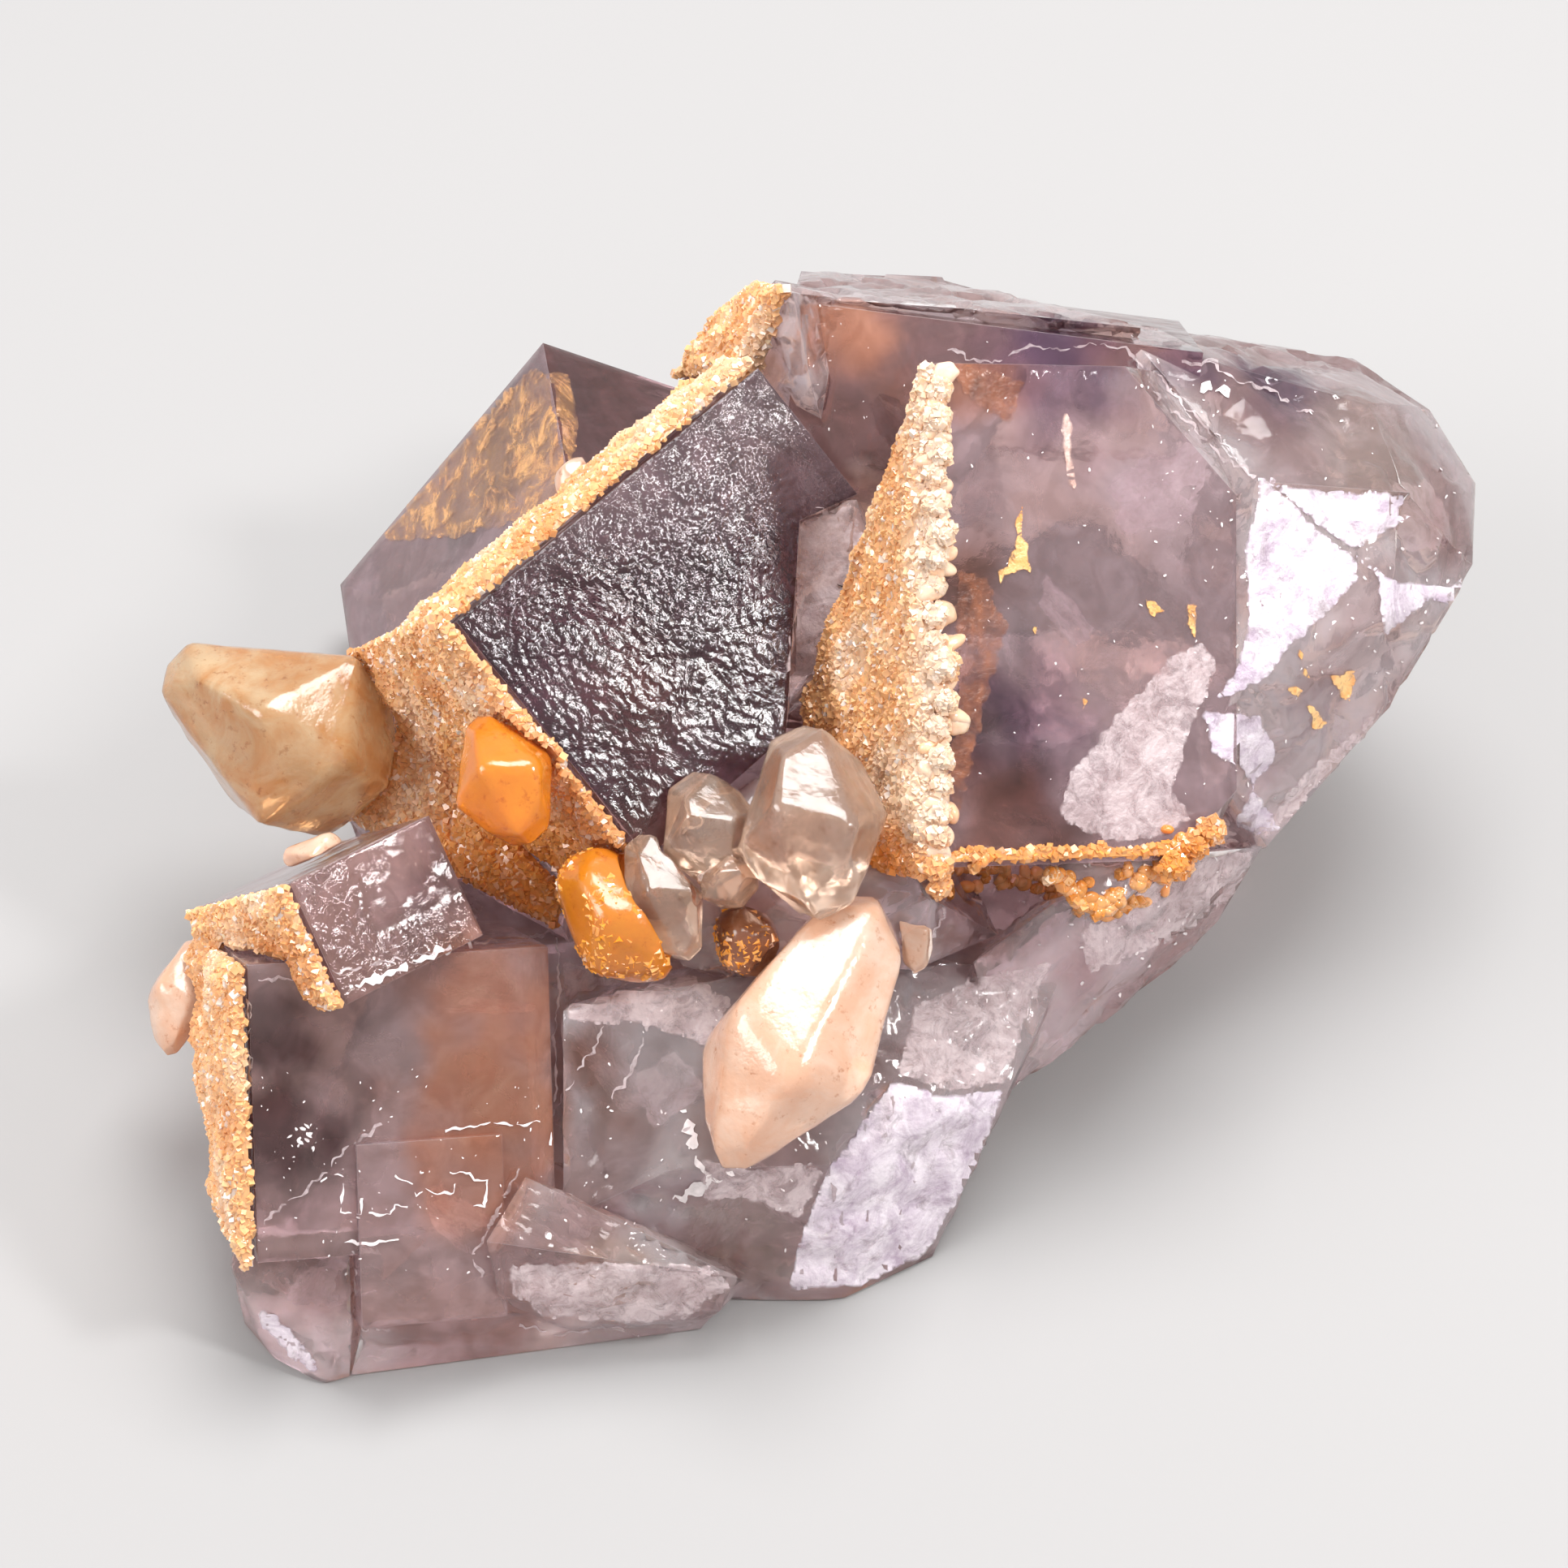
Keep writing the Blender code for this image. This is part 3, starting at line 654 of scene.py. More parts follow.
def lobe(middle, axes, sizes, detail=3):
    """Rounded lump: points and faces of an icosphere stretched along three axes and dented a little."""
    ball = bmesh.new()
    bmesh.ops.create_icosphere(ball, subdivisions=detail, radius=1.0)
    points = []
    for vert in ball.verts:
        offset = sum((axis * size * part for axis, size, part in zip(axes, sizes, vert.co)), Vector())
        dent = 1 + 0.22 * noise.noise((middle + offset) * 1.6)
        points.append(middle + offset * dent)
    ball.verts.index_update()
    sides = [[vert.index for vert in face.verts] for face in ball.faces]
    ball.free()
    return points, sides


def lobes(name, rows, long, wide, seed):
    """Lobes, each a middle, axes and a colour. long and wide are the least and most half sizes of one."""
    rng = np.random.default_rng(seed)
    verts, faces, tones = [], [], []
    for middle, axes, colour in rows:
        points, sides = lobe(middle, axes, (rng.uniform(*long), rng.uniform(*wide), rng.uniform(*wide)))
        faces.extend([len(verts) + corner for corner in side] for side in sides)
        verts.extend(points)
        tones.extend([varied(colour, rng, 0.04)] * 3 * len(sides))
    piece = tinted_piece(name, verts, faces, tones, LOBE, [])
    piece.data.shade_smooth()
    return piece


def rim_of_right_cube():
    """Cream fringe along the left edge of the right cube, its lobes reaching over the face."""
    rng = np.random.default_rng(21)
    turn = TURNS["right"]
    half = CUBES["right"][3][0] / 2
    rows = []
    for index in range(RIM_LOBES):
        up = 12.6 - 26.0 * index / (RIM_LOBES - 1) + rng.uniform(-0.5, 0.5)
        reach = -half + 0.1 + 0.9 * noise.noise(Vector((up * 0.8, 0, 2))) + rng.uniform(-0.4, 0.7)
        lean = rng.uniform(-0.5, 0.4)
        axes = (turn.col[0] * cos(lean) + turn.col[1] * sin(lean), turn.col[1], turn.col[2])
        rows.append((from_cube("right", reach, up, 0.15), axes, blend(CREAM, PEACH, rng.uniform(0.1, 0.6))))
    return rows


def foot_of_right_cube(surface):
    """Orange and peach lumps along the foot of the right cube and on the ledge below it."""
    rng = np.random.default_rng(22)
    route = [(1150, 1085), (1230, 1076), (1290, 1084), (1320, 1102), (1350, 1128), (1388, 1108), (1430, 1072),
             (1468, 1032)]
    rows = []
    for index in range(FOOT_LOBES):
        along = index / (FOOT_LOBES - 1) * (len(route) - 1)
        first = min(int(along), len(route) - 2)
        start, end = Vector(route[first]), Vector(route[first + 1])
        u, v = start.lerp(end, along - first) + Vector(rng.normal(0, 11, 2))
        place = on_crystal(surface, u, v)
        if place:
            axes = (TURNS["right"].col[0], TURNS["right"].col[1], TURNS["right"].col[2])
            rows.append((place, axes, blend(STAIN, PEACH, rng.uniform(0.0, 0.8))))
    return rows


def varied(colour, rng, spread=0.08):
    share = 1 + spread * rng.normal()
    return tuple(min(1.0, max(0.0, channel * share)) for channel in colour)


def peach_tone(place, rng):
    """Peach, with tan and pale patches and a few bright grains."""
    patch = noise.noise(place * 0.22)
    colour = blend(PEACH, TAN, 0.8 * smooth(0.0, 0.5, patch))
    colour = blend(colour, CREAM, 0.5 * smooth(0.1, 0.5, -patch))
    if rng.random() < 0.05:
        colour = blend(colour, (1, 1, 1), 0.6)
    return varied(colour, rng)


def orange_tone(place, rng):
    """Vivid iron orange with pale glittering grains."""
    colour = blend(ORANGE, PEACH, 0.6 * rng.random() ** 2)
    return varied(blend(colour, (1, 1, 1), 0.5) if rng.random() < 0.08 else colour, rng)


def foot_tone(place, rng):
    """Peach and iron orange, lump by lump."""
    return varied(blend(peach_tone(place, rng), STAIN, smooth(-0.3, 0.4, noise.noise(place * 0.9))), rng)


def dark_cube_tone(place, rng):
    """Peach above, and iron-stained orange low down by the calcites."""
    low = smooth(22.0, 17.5, place.z) * smooth(-24.0, -16.0, place.x)
    return blend(peach_tone(place, rng), varied(STAIN, rng), 0.75 * low)


def right_cube_tone(place, rng):
    """Pale scalloped rim along the left edge, orange lumps along the foot."""
    across, up, out = in_cube("right", place)
    rim = smooth(1.6, 0.2, abs(across + CUBES["right"][3][0] / 2 + 0.4)) * smooth(-2.4, -0.6, out)
    colour = blend(peach_tone(place, rng), CREAM, 0.9 * rim)
    foot = smooth(-11.0, -13.2, up)
    return blend(colour, varied(STAIN, rng), 0.75 * foot)


# Calcite

def calcite(node, finish, slot, crease):
    """Blunt crystal with rounded ends: a subdivided shape whose edges keep some sharpness."""
    shape = mesh_of(node)
    bmesh.ops.dissolve_limit(shape, angle_limit=radians(2), verts=shape.verts, edges=shape.edges)
    bmesh.ops.scale(shape, vec=(MM, MM, MM), verts=shape.verts)
    creases = shape.edges.layers.float.new("crease_edge")
    for edge in shape.edges:
        edge[creases] = crease
    mesh = bpy.data.meshes.new(node + "_crystal")
    shape.to_mesh(mesh)
    shape.free()
    mesh.materials.append(finish)
    piece = new_piece(node + "_crystal", mesh, [node])
    rounding = piece.modifiers.new("Rounding", "SUBSURF")
    rounding.levels = rounding.render_levels = 3
    rounded = bpy.data.meshes.new_from_object(piece.evaluated_get(bpy.context.evaluated_depsgraph_get()))
    piece.modifiers.clear()
    normals = [vert.normal.copy() for vert in rounded.vertices]
    for vert, normal in zip(rounded.vertices, normals):
        place = vert.co / MM
        vert.co += normal * MM * (0.10 * noise.noise(place * 0.6) + 0.03 * noise.noise(place * 2.2) - 0.08)
    rounded.shade_smooth()
    piece.data = rounded
    return piece


# Marks on the crystal's surface. Their places are pixels of the photograph, 1932 across, and each
# mark lies on whatever crystal surface the camera sees there.
FRAME_PIXELS = 1932
AWAY = Vector((0.0, -cos(radians(ELEVATION)), sin(radians(ELEVATION))))
EYE = LOOK_AT + AWAY * DISTANCE
SCREEN_UP = Vector((0.0, sin(radians(ELEVATION)), cos(radians(ELEVATION))))
LIFT = 0.07            # height of a mark over the surface
TORN = 1.6             # a mark is torn where its neighbouring points lie further apart than this


def on_crystal(surface, u, v):
    """The surface point that the camera sees at a pixel, lifted a little, or None."""
    half = FRAME_PIXELS / 2
    aim = Vector(((u - half) / FRAME_PIXELS * SENSOR, 0, 0)) + SCREEN_UP * ((half - v) / FRAME_PIXELS * SENSOR)
    place, normal, _, _ = surface.ray_cast(EYE, (aim - AWAY * LENS).normalized())
    return place + normal * LIFT if place else None


def ragged(outline, step, jag):
    """Outline with a point every few pixels, each a little off the line."""
    points = []
    for (u, v), (to_u, to_v) in zip(outline, outline[1:] + outline[:1]):
        length = max(1.0, ((to_u - u) ** 2 + (to_v - v) ** 2) ** 0.5)
        for index in range(max(1, int(length / step))):
            share = index * step / length
            at_u, at_v = u + (to_u - u) * share, v + (to_v - v) * share
            shift = noise.noise(Vector((at_u * 0.09, at_v * 0.09, 1.0))) * jag
            points.append((at_u + (to_v - v) / length * shift, at_v - (to_u - u) / length * shift))
    return points


def patch(surface, outline, jag=6.0, step=4.0, grid=8.0):
    """Points and faces of a thin ragged patch inside an outline. Its cover is 0 along the rim."""
    rim = [Vector(point) for point in ragged(outline, step, jag)]
    low_u, low_v = min(point.x for point in rim), min(point.y for point in rim)
    high_u, high_v = max(point.x for point in rim), max(point.y for point in rim)
    inner = [Vector((u, v)) for u in np.arange(low_u, high_u, grid) for v in np.arange(low_v, high_v, grid)]
    flat, _, faces, origins, _, _ = geometry.delaunay_2d_cdt(rim + inner, [], [list(range(len(rim)))], 1, 0.1)
    covers = [0.0 if any(index < len(rim) for index in origin) else 1.0 for origin in origins]
    return torn([on_crystal(surface, *point) for point in flat], covers, faces)


def torn(places, covers, faces):
    """Leaves out the faces that miss the crystal or bridge a step in it."""
    kept = []
    for face in faces:
        corners = [places[index] for index in face]
        if all(corners):
            if all((a - b).length < TORN for a, b in zip(corners, corners[1:] + corners[:1])):
                kept.append(face)
    used = sorted({index for face in kept for index in face})
    renamed = {old: new for new, old in enumerate(used)}
    return ([places[index] for index in used], [covers[index] for index in used],
            [[renamed[index] for index in face] for face in kept])


def scratch(surface, line, width, jag=1.5, step=4.0):
    """Points and faces of a thin broken line of marks."""
    middle = []
    for (u, v), (to_u, to_v) in zip(line, line[1:]):
        count = max(1, int(((to_u - u) ** 2 + (to_v - v) ** 2) ** 0.5 / step))
        middle.extend((u + (to_u - u) * index / count, v + (to_v - v) * index / count) for index in range(count))
    middle.append(line[-1])
    places, faces = [], []
    for index, (u, v) in enumerate(middle):
        to_u, to_v = middle[min(index + 1, len(middle) - 1)]
        from_u, from_v = middle[max(index - 1, 0)]
        along = Vector((to_u - from_u, to_v - from_v)).normalized()
        shift = noise.noise(Vector((u * 0.11, v * 0.11, 4.0))) * jag * 2
        swell = 0.5 + 1.3 * noise.noise(Vector((u * 0.07, v * 0.07, 9.0)))
        half = width * max(0.12, swell) / 2
        for side in (shift - half, shift + half):
            places.append(on_crystal(surface, u - along.y * side, v + along.x * side))
        if index and swell > 0.08:
            first = 2 * index
            faces.append([first - 2, first - 1, first + 1, first])
    return torn(places, [1.0] * len(places), faces)


def speck(surface, u, v, size, rng):
    """Points and faces of one small ragged speck."""
    turn, count = rng.random() * pi, 6
    outline = []
    for index in range(count):
        around = 2 * pi * index / count
        reach = size * (0.4 + 0.6 * rng.random())
        x, y = cos(around) * reach, sin(around) * reach * 0.5
        outline.append((u + x * cos(turn) - y * sin(turn), v + x * sin(turn) + y * cos(turn)))
    return torn([on_crystal(surface, *point) for point in outline], [1.0] * count, [list(range(count))])


def marks(name, parts, finish):
    """One thin piece from many marks."""
    verts, covers, faces = [], [], []
    for points, shares, sides in parts:
        faces.extend([len(verts) + corner for corner in side] for side in sides)
        verts.extend(point * MM for point in points)
        covers.extend(shares)
    mesh = bpy.data.meshes.new(name)
    mesh.from_pydata(verts, [], faces)
    mesh.attributes.new("cover", "FLOAT", "POINT").data.foreach_set("value", covers)
    mesh.materials.append(finish)
    mesh.shade_smooth()
    return new_piece(name, mesh, [])


# White fracture faces on the right end and at the front right, and the pale worn window
FRACTURES = [
    [(1550, 582), (1586, 599), (1644, 605), (1732, 608), (1724, 634), (1738, 637), (1668, 678), (1621, 646),
     (1591, 617)],
    [(1550, 584), (1591, 619), (1621, 652), (1668, 687), (1674, 711), (1644, 746), (1586, 799), (1562, 834),
     (1503, 863), (1486, 875), (1527, 816), (1539, 758), (1533, 676), (1547, 629)],
    [(1655, 675), (1697, 711), (1703, 787), (1756, 740), (1791, 746), (1806, 705), (1785, 722), (1720, 717)],
    [(1480, 875), (1550, 881), (1574, 928), (1539, 975), (1521, 1016), (1550, 1028), (1580, 1022),
     (1527, 945), (1492, 928)],
    [(1020, 1440), (1050, 1400), (1100, 1330), (1165, 1350), (1238, 1342), (1200, 1440), (1140, 1545),
     (1060, 1585), (968, 1588), (990, 1510)],
    [(318, 1611), (345, 1622), (389, 1676), (394, 1696), (356, 1669), (320, 1630)],
]
VEILS = [
    [(1304, 1004), (1316, 951), (1351, 910), (1398, 857), (1445, 805), (1480, 793), (1497, 811), (1486, 857),
     (1468, 893), (1456, 940), (1445, 975), (1468, 1010), (1439, 1028), (1386, 1039), (1339, 1028)],
    [(1530, 1040), (1600, 960), (1690, 880), (1715, 860), (1640, 960), (1560, 1030)],
    [(983, 671), (996, 628), (1045, 617), (1067, 660), (1050, 736), (1023, 823), (985, 882), (966, 850)],
    [(1125, 1240), (1200, 1205), (1300, 1180), (1262, 1260), (1240, 1335), (1170, 1345), (1105, 1325)],
    [(690, 1180), (760, 1210), (850, 1200), (905, 1235), (870, 1290), (790, 1262), (700, 1260)],
    [(1400, 1075), (1500, 1050), (1545, 1035), (1530, 1100), (1440, 1160), (1340, 1200), (1330, 1150)],
    [(860, 1427), (930, 1440), (1000, 1430), (1015, 1445), (985, 1500), (909, 1475), (870, 1480)],
    [(627, 1557), (719, 1554), (876, 1560), (905, 1580), (844, 1625), (779, 1630), (670, 1622), (632, 1595)],
]
PINK_STREAKS = [
    [(1311, 497), (1321, 523), (1319, 558), (1327, 605), (1316, 599), (1310, 558), (1307, 529)],
]
STAINS = [
    [(1260, 620), (1257, 652), (1266, 681), (1269, 705), (1245, 705), (1233, 720), (1230, 705), (1251, 676),
     (1248, 646)],
    [(1407, 734), (1439, 752), (1421, 761)],
    [(1462, 743), (1474, 746), (1471, 787), (1462, 769)],
    [(1269, 769), (1280, 769), (1275, 787)],
    [(1330, 852), (1339, 863), (1332, 878)],
    [(1600, 799), (1612, 837), (1604, 830)],
    [(1583, 846), (1609, 850), (1600, 858)],
    [(1638, 834), (1671, 822), (1662, 866), (1648, 855)],
    [(1606, 863), (1638, 887), (1621, 899)],
]
LEAF_STAINS = [
    [(655, 455), (700, 462), (712, 520), (705, 600), (650, 640), (570, 660), (480, 668), (462, 640), (520, 590),
     (580, 520)],
]
RUSTY = [
    [(1172, 440), (1262, 470), (1244, 520), (1200, 500), (1178, 470)],
    [(1180, 700), (1215, 712), (1240, 770), (1218, 850), (1196, 940), (1178, 1020), (1168, 960), (1180, 850),
     (1176, 760)],
    [(985, 372), (1042, 378), (1024, 420), (996, 458), (972, 470)],
]
# Thin white lines: the angular scars on the front-left cube, then healed cracks and worn edges. The lines along edges
# and ridges are painted highlights; one broad line is a painted glint and one faint line a painted refraction line.
LINES = [
    [(548, 1392), (575, 1388), (600, 1384), (640, 1386), (665, 1381)],
    [(394, 1454), (416, 1446), (424, 1449), (421, 1492), (445, 1497), (445, 1476)],
    [(486, 1449), (508, 1459), (513, 1473), (524, 1465), (535, 1468), (559, 1470), (559, 1459), (546, 1457)],
    [(554, 1443), (578, 1446), (584, 1454), (600, 1454), (597, 1487), (578, 1487)],
    [(454, 1495), (481, 1497), (486, 1484), (502, 1487)],
    [(424, 1530), (455, 1533), (491, 1527)],
    # Painted highlights along the front-left cube's right and left edges
    [(686, 1156), (690, 1220), (683, 1280), (685, 1350), (678, 1411)],
    [(306, 1230), (309, 1320), (305, 1400), (312, 1480), (310, 1560)],
]
FAINT_LINES = [
    [(757, 1243), (748, 1262), (725, 1302), (706, 1330), (681, 1373)],
    [(800, 1243), (796, 1275), (779, 1319), (768, 1338), (752, 1351)],
    [(1456, 447), (1492, 447), (1510, 462), (1533, 470), (1565, 482), (1597, 505), (1632, 511)],
    # The next two lines are painted highlights along the right cube's top ridge
    [(1421, 482), (1440, 505), (1468, 523), (1500, 560), (1547, 588)],
    [(1169, 428), (1195, 442), (1222, 446), (1269, 426), (1310, 430), (1351, 424), (1386, 430), (1410, 450)],
    [(640, 1440), (622, 1470), (600, 1514), (584, 1546), (594, 1573)],
    # Painted highlight along the front-left cube's top edge
    [(318, 1206), (380, 1202), (450, 1192), (510, 1176), (560, 1168), (686, 1150)],
    [(640, 1562), (700, 1572), (746, 1557), (810, 1570), (878, 1566)],
    [(640, 1630), (690, 1644), (742, 1636), (800, 1646), (846, 1640)],
    [(800, 1243), (880, 1240), (935, 1236)],
    # Painted refraction line: an edge seen through the front-left cube
    [(310, 1522), (345, 1488), (390, 1455), (430, 1412), (470, 1384)],
    [(436, 1541), (439, 1590), (438, 1640), (480, 1636)],
    # Painted highlight beside the right cube's top ridge
    [(1420, 452), (1440, 480), (1462, 505), (1500, 540), (1545, 590)],
    [(1165, 1085), (1160, 1130), (1130, 1180)],
]
BROAD_LINES = [
    [(844, 1367), (855, 1416), (876, 1465), (828, 1476)],
    [(903, 1443), (855, 1465), (833, 1481)],
    # This line is a painted glint
    [(1480, 476), (1515, 483)],
    [(430, 1215), (480, 1200), (520, 1180), (600, 1155)],
]
HAIRS = [
    [(1030, 718), (1046, 728), (1062, 740)],
    [(1028, 752), (1048, 744), (1066, 734)],
    [(1042, 742), (1056, 726)],
]
# Where specks are strewn: centre, half width and half height of the area, how many, and their size
SPECKLED = [
    ((490, 1440), (180, 130), 90, 2.4), ((372, 1403), (16, 18), 14, 5.0), ((1360, 720), (170, 260), 60, 2.6),
    ((860, 1380), (170, 160), 80, 2.8), ((1150, 1300), (120, 80), 40, 3.0), ((1640, 800), (160, 200), 90, 3.2),
    ((1120, 470), (120, 90), 18, 2.2), ((1400, 1140), (150, 90), 60, 3.4), ((1600, 600), (190, 130), 40, 2.4),
]


def all_marks(surface):
    """Every mark on the clear crystal, grouped by finish."""
    rng = np.random.default_rng(11)
    specks = []
    for (u, v), (wide, high), count, size in SPECKLED:
        for _ in range(count):
            at_u, at_v = u + wide * rng.uniform(-1, 1), v + high * rng.uniform(-1, 1)
            specks.append(speck(surface, at_u, at_v, size * rng.uniform(0.5, 1.4), rng))
    white = [scratch(surface, line, 4.0, jag=2.0) for line in LINES]
    white += [scratch(surface, line, 12.0, jag=4.0) for line in BROAD_LINES]
    marks("white_scars_and_highlights", white + specks, flake_material("scar_and_highlight", seen(250, 240, 240), 0.3))
    marks("healed_cracks_and_highlights", [scratch(surface, line, 5.0, jag=3.5) for line in FAINT_LINES],
          veil_material("healed_and_highlight", seen(240, 226, 228), seen(206, 184, 186), 0.55))
    marks("fracture_faces", [patch(surface, outline, 4.0) for outline in FRACTURES],
          veil_material("fracture", seen(246, 236, 244), seen(190, 172, 190), 0.88, 0.6, (0.25, 0.48)))
    marks("pale_veils", [patch(surface, outline) for outline in VEILS],
          veil_material("veil", seen(240, 222, 224), seen(200, 178, 180), 0.6))
    marks("pink_streaks", [patch(surface, outline, 3.0) for outline in PINK_STREAKS],
          veil_material("streak", seen(250, 220, 210), seen(226, 170, 150), 0.9))
    marks("iron_stains", [patch(surface, outline, 7.0, grid=5.0) for outline in STAINS],
          veil_material("stain", seen(250, 200, 130), seen(226, 142, 66), 0.95, 1.2, (0.35, 0.5)))
    marks("leafy_stains", [patch(surface, outline) for outline in LEAF_STAINS],
          veil_material("leafy", seen(236, 176, 112), seen(170, 120, 88), 0.8, 0.55, (0.46, 0.60)))
    marks("rusty_films", [patch(surface, outline) for outline in RUSTY],
          veil_material("rusty", seen(178, 110, 76), seen(104, 62, 48), 0.6, 0.8, (0.34, 0.66)))
    marks("hairs", [scratch(surface, line, 2.6, jag=2.0) for line in HAIRS],
          flake_material("hair", seen(60, 48, 46), 0.4))


CRACK_SPOTS = [
    (745, 1300, 2.5, "front", (1, 1, 1)), (820, 1340, 3.0, "front", (-1, 1, 1)), (900, 1290, 2.5, "right", (1, -1, 1)),
    (870, 1500, 2.0, "front", (1, -1, 1)), (960, 1480, 2.5, "right", (1, 1, 1)), (1130, 1270, 2.5, "right", (-1, 1, 1)),
    (1180, 1330, 3.0, "right", (1, -1, 1)), (1090, 1420, 2.0, "right", (1, 1, 1)), (700, 1500, 2.0, "front", (1, 1, -1)),
    (560, 1500, 3.0, "front", (1, 1, 1)), (420, 1560, 2.0, "front", (-1, 1, 1)), (740, 1600, 1.6, "front", (0, 1, 0.2)),
    (600, 1240, 2.5, "front", (0, 1, 0.1)), (1650, 900, 3.0, "right", (1, 1, 1)), (1740, 640, 3.0, "back", (1, 1, 1)),
    (1600, 1000, 2.5, "right", (1, -1, 1)), (1450, 1130, 2.5, "right", (1, 1, 1)), (1700, 520, 3.5, "back", (1, -1, 1)),
    (1300, 760, 5.0, "right", (1, 1, 1)), (1100, 520, 5.0, "back", (1, 1, -1)), (1420, 600, 4.5, "right", (-1, 1, 1)),
]
CRACK_REACH = 3.4      # half width of the largest crack
CRACK_DEEP = 0.25      # least distance of a crack under the surface


def cracks(surface):
    """Silvery cleavage cracks inside the clear crystal, along its cleavage directions."""
    rng = np.random.default_rng(31)
    parts = []
    for u, v, depth, name, direction in CRACK_SPOTS:
        start = on_crystal(surface, u, v)
        if start is None:
            continue
        middle = start + (start - EYE).normalized() * depth
        normal = (TURNS[name] @ Vector(direction)).normalized()
        side = normal.orthogonal().normalized()
        other = normal.cross(side)
        rings, spokes, reach = 7, 26, CRACK_REACH * rng.uniform(0.55, 1.0)
        places = [middle]
        for ring in range(1, rings + 1):
            for spoke in range(spokes):
                around = 2 * pi * spoke / spokes
                ragged_reach = reach * (1 + 0.5 * noise.noise(Vector((cos(around), sin(around), u * 0.01)) * 1.7))
                away = ragged_reach * ring / rings
                place = middle + side * cos(around) * away + other * sin(around) * away
                places.append(place + normal * 0.25 * noise.noise(place * 0.5))
        faces = [[0, 1 + spoke, 1 + (spoke + 1) % spokes] for spoke in range(spokes)]
        for ring in range(1, rings):
            first, second = 1 + (ring - 1) * spokes, 1 + ring * spokes
            for spoke in range(spokes):
                after = (spoke + 1) % spokes
                faces.append([first + spoke, second + spoke, second + after, first + after])
        covers = [1.0] * (len(places) - spokes) + [0.0] * spokes
        inside = [place if buried(surface, place) else None for place in places]
        parts.append(torn(inside, covers, faces))
    return marks("inner_cracks", parts, veil_material("crack", seen(250, 240, 244), seen(214, 192, 198), 0.6, 0.7))


def buried(surface, place):
    """True for a point well under the crystal's surface."""
    nearest, normal, _, _ = surface.find_nearest(place)
    return (nearest - place).dot(normal) > CRACK_DEEP


# Stage

def stage():
    """Pale floor, soft lights and the camera."""
    mesh = bpy.data.meshes.new("floor")
    half = 1.5
    mesh.from_pydata([(x, y, -0.15 * MM) for x, y in ((-half, -half), (half, -half), (half, half), (-half, half))],
                     [], [(0, 1, 2, 3)])
    made, _ = principled("floor", Base_Color=(0.36, 0.355, 0.355, 1), Roughness=0.9)
    mesh.materials.append(made)
    bpy.context.scene.view_settings.view_transform = "Standard"
    floor = bpy.data.objects.new("floor", mesh)
    bpy.context.collection.objects.link(floor)

    world = bpy.data.worlds.new("studio")
    bpy.context.scene.world = world
    world.use_nodes = True
    world.node_tree.nodes["Background"].inputs["Color"].default_value = (1.0, 0.97, 0.96, 1)
    world.node_tree.nodes["Background"].inputs["Strength"].default_value = 0.8

    # Name, azimuth and elevation seen from the object, distance, size, power
    lamp("softbox_above", 160, 72, 420, 240, 2.1)
    lamp("softbox_right", 72, 47, 360, 50, 0.6)
    lamp("softbox_left", -75, 35, 420, 180, 0.8)

    data = bpy.data.cameras.new("camera")
    data.lens, data.sensor_width, data.sensor_fit = LENS, SENSOR, "HORIZONTAL"
    data.clip_start = 0.01
    camera = bpy.data.objects.new("camera", data)
    camera.location = EYE * MM
    camera.rotation_euler = (radians(90 - ELEVATION), 0, 0)
    bpy.context.collection.objects.link(camera)
    bpy.context.scene.camera = camera


def lamp(name, azimuth, elevation, distance, size, power):
    """Square soft light that looks at the cluster."""
    data = bpy.data.lights.new(name, "AREA")
    data.size, data.energy, data.shape = size * MM, power, "SQUARE"
    light = bpy.data.objects.new(name, data)
    turn = turn_of(azimuth, elevation)
    light.location = (LOOK_AT + turn.col[2] * distance) * MM
    light.rotation_euler = turn.to_euler()
    bpy.context.collection.objects.link(light)


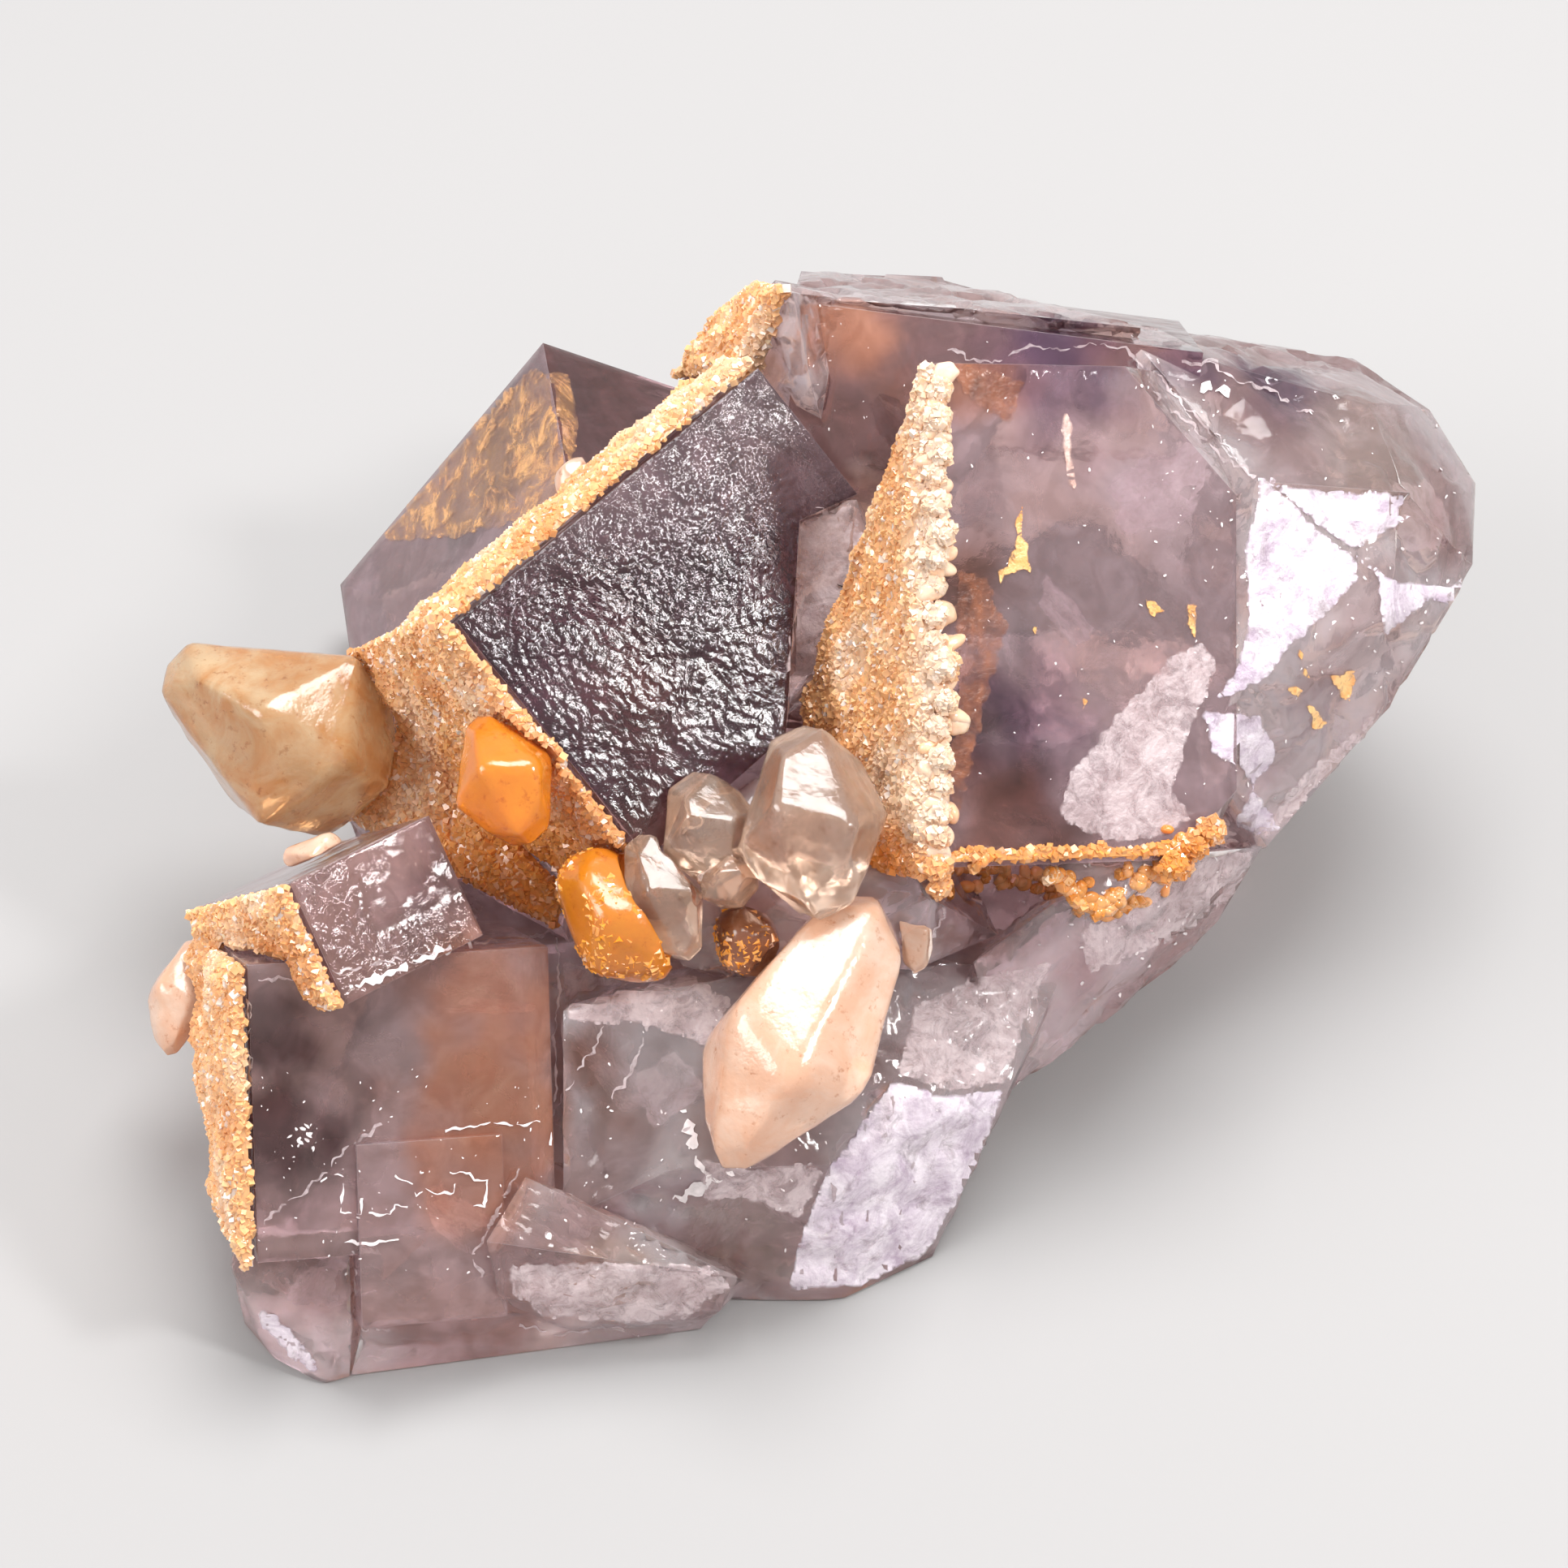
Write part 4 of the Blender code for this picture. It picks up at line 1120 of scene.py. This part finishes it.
SURFACE = fluorite()
all_marks(SURFACE)
cracks(SURFACE)
DRUSE = druse_material("peach_druse", 0.22, 0.01)
LOBE = druse_material("cream_fringe", 0.16, 0.03)
druse("druse_dark_cube", 0.30, dark_cube_tone, 1)
druse("druse_right_cube", 0.30, right_cube_tone, 2)
druse("druse_back_corner", 0.32, peach_tone, 3)
druse("druse_front_cubes", 0.30, peach_tone, 4)
lobes("cream_fringe", rim_of_right_cube(), (0.5, 0.95), (0.42, 0.70), 5)
LUMPS = lobes("orange_lumps", foot_of_right_cube(SURFACE), (0.3, 0.55), (0.28, 0.48), 6)

CREAM_SPAR = calcite_material("cream_calcite", seen(250, 222, 200), seen(246, 198, 166), 0.45, 0.16, 25.0)
CLEAR_SPAR = calcite_material("clear_calcite", seen(242, 220, 202), seen(226, 190, 164), 0.85, 0.10, 14.0)
ORANGE_SPAR = calcite_material("orange_calcite", ORANGE, seen(238, 142, 44), 0.5, 0.16, 20.0)
BROWN_SPAR = calcite_material("brown_calcite", seen(204, 146, 112), seen(150, 92, 62), 0.4, 0.18, 30.0)
LEFT_SPAR = calcite_material("tan_calcite", seen(238, 208, 164), seen(218, 158, 100), 0.6, 0.14, 30.0)
CALCITES = {
    "calcite_front": (CREAM_SPAR, "calcite_cream", 0.45),
    "calcite_middle_large": (CLEAR_SPAR, "calcite_clear", 0.55),
    "calcite_middle_small": (CLEAR_SPAR, "calcite_clear", 0.50),
    "calcite_middle_flat": (CLEAR_SPAR, "calcite_clear", 0.50),
    "calcite_brown": (BROWN_SPAR, "calcite_orange", 0.30),
    "calcite_pale": (CLEAR_SPAR, "calcite_clear", 0.50),
    "calcite_orange_upper": (ORANGE_SPAR, "calcite_orange", 0.45),
    "calcite_orange_lower": (ORANGE_SPAR, "calcite_orange", 0.30),
    "calcite_disc": (CREAM_SPAR, "calcite_cream", 0.30),
    "calcite_far_left": (CREAM_SPAR, "calcite_cream", 0.40),
    "calcite_left_large": (LEFT_SPAR, "calcite_cream", 0.55),
    "calcite_back_tip": (CREAM_SPAR, "calcite_cream", 0.40),
    "calcite_sliver": (CREAM_SPAR, "calcite_cream", 0.40),
}
CRYSTALS = {name: calcite(name, *values) for name, values in CALCITES.items()}
sugar("orange_sugar", [CRYSTALS["calcite_orange_lower"], CRYSTALS["calcite_brown"]], 0.34, orange_tone, 7)
sugar("foot_sugar", [LUMPS], 0.32, foot_tone, 8)

stage()
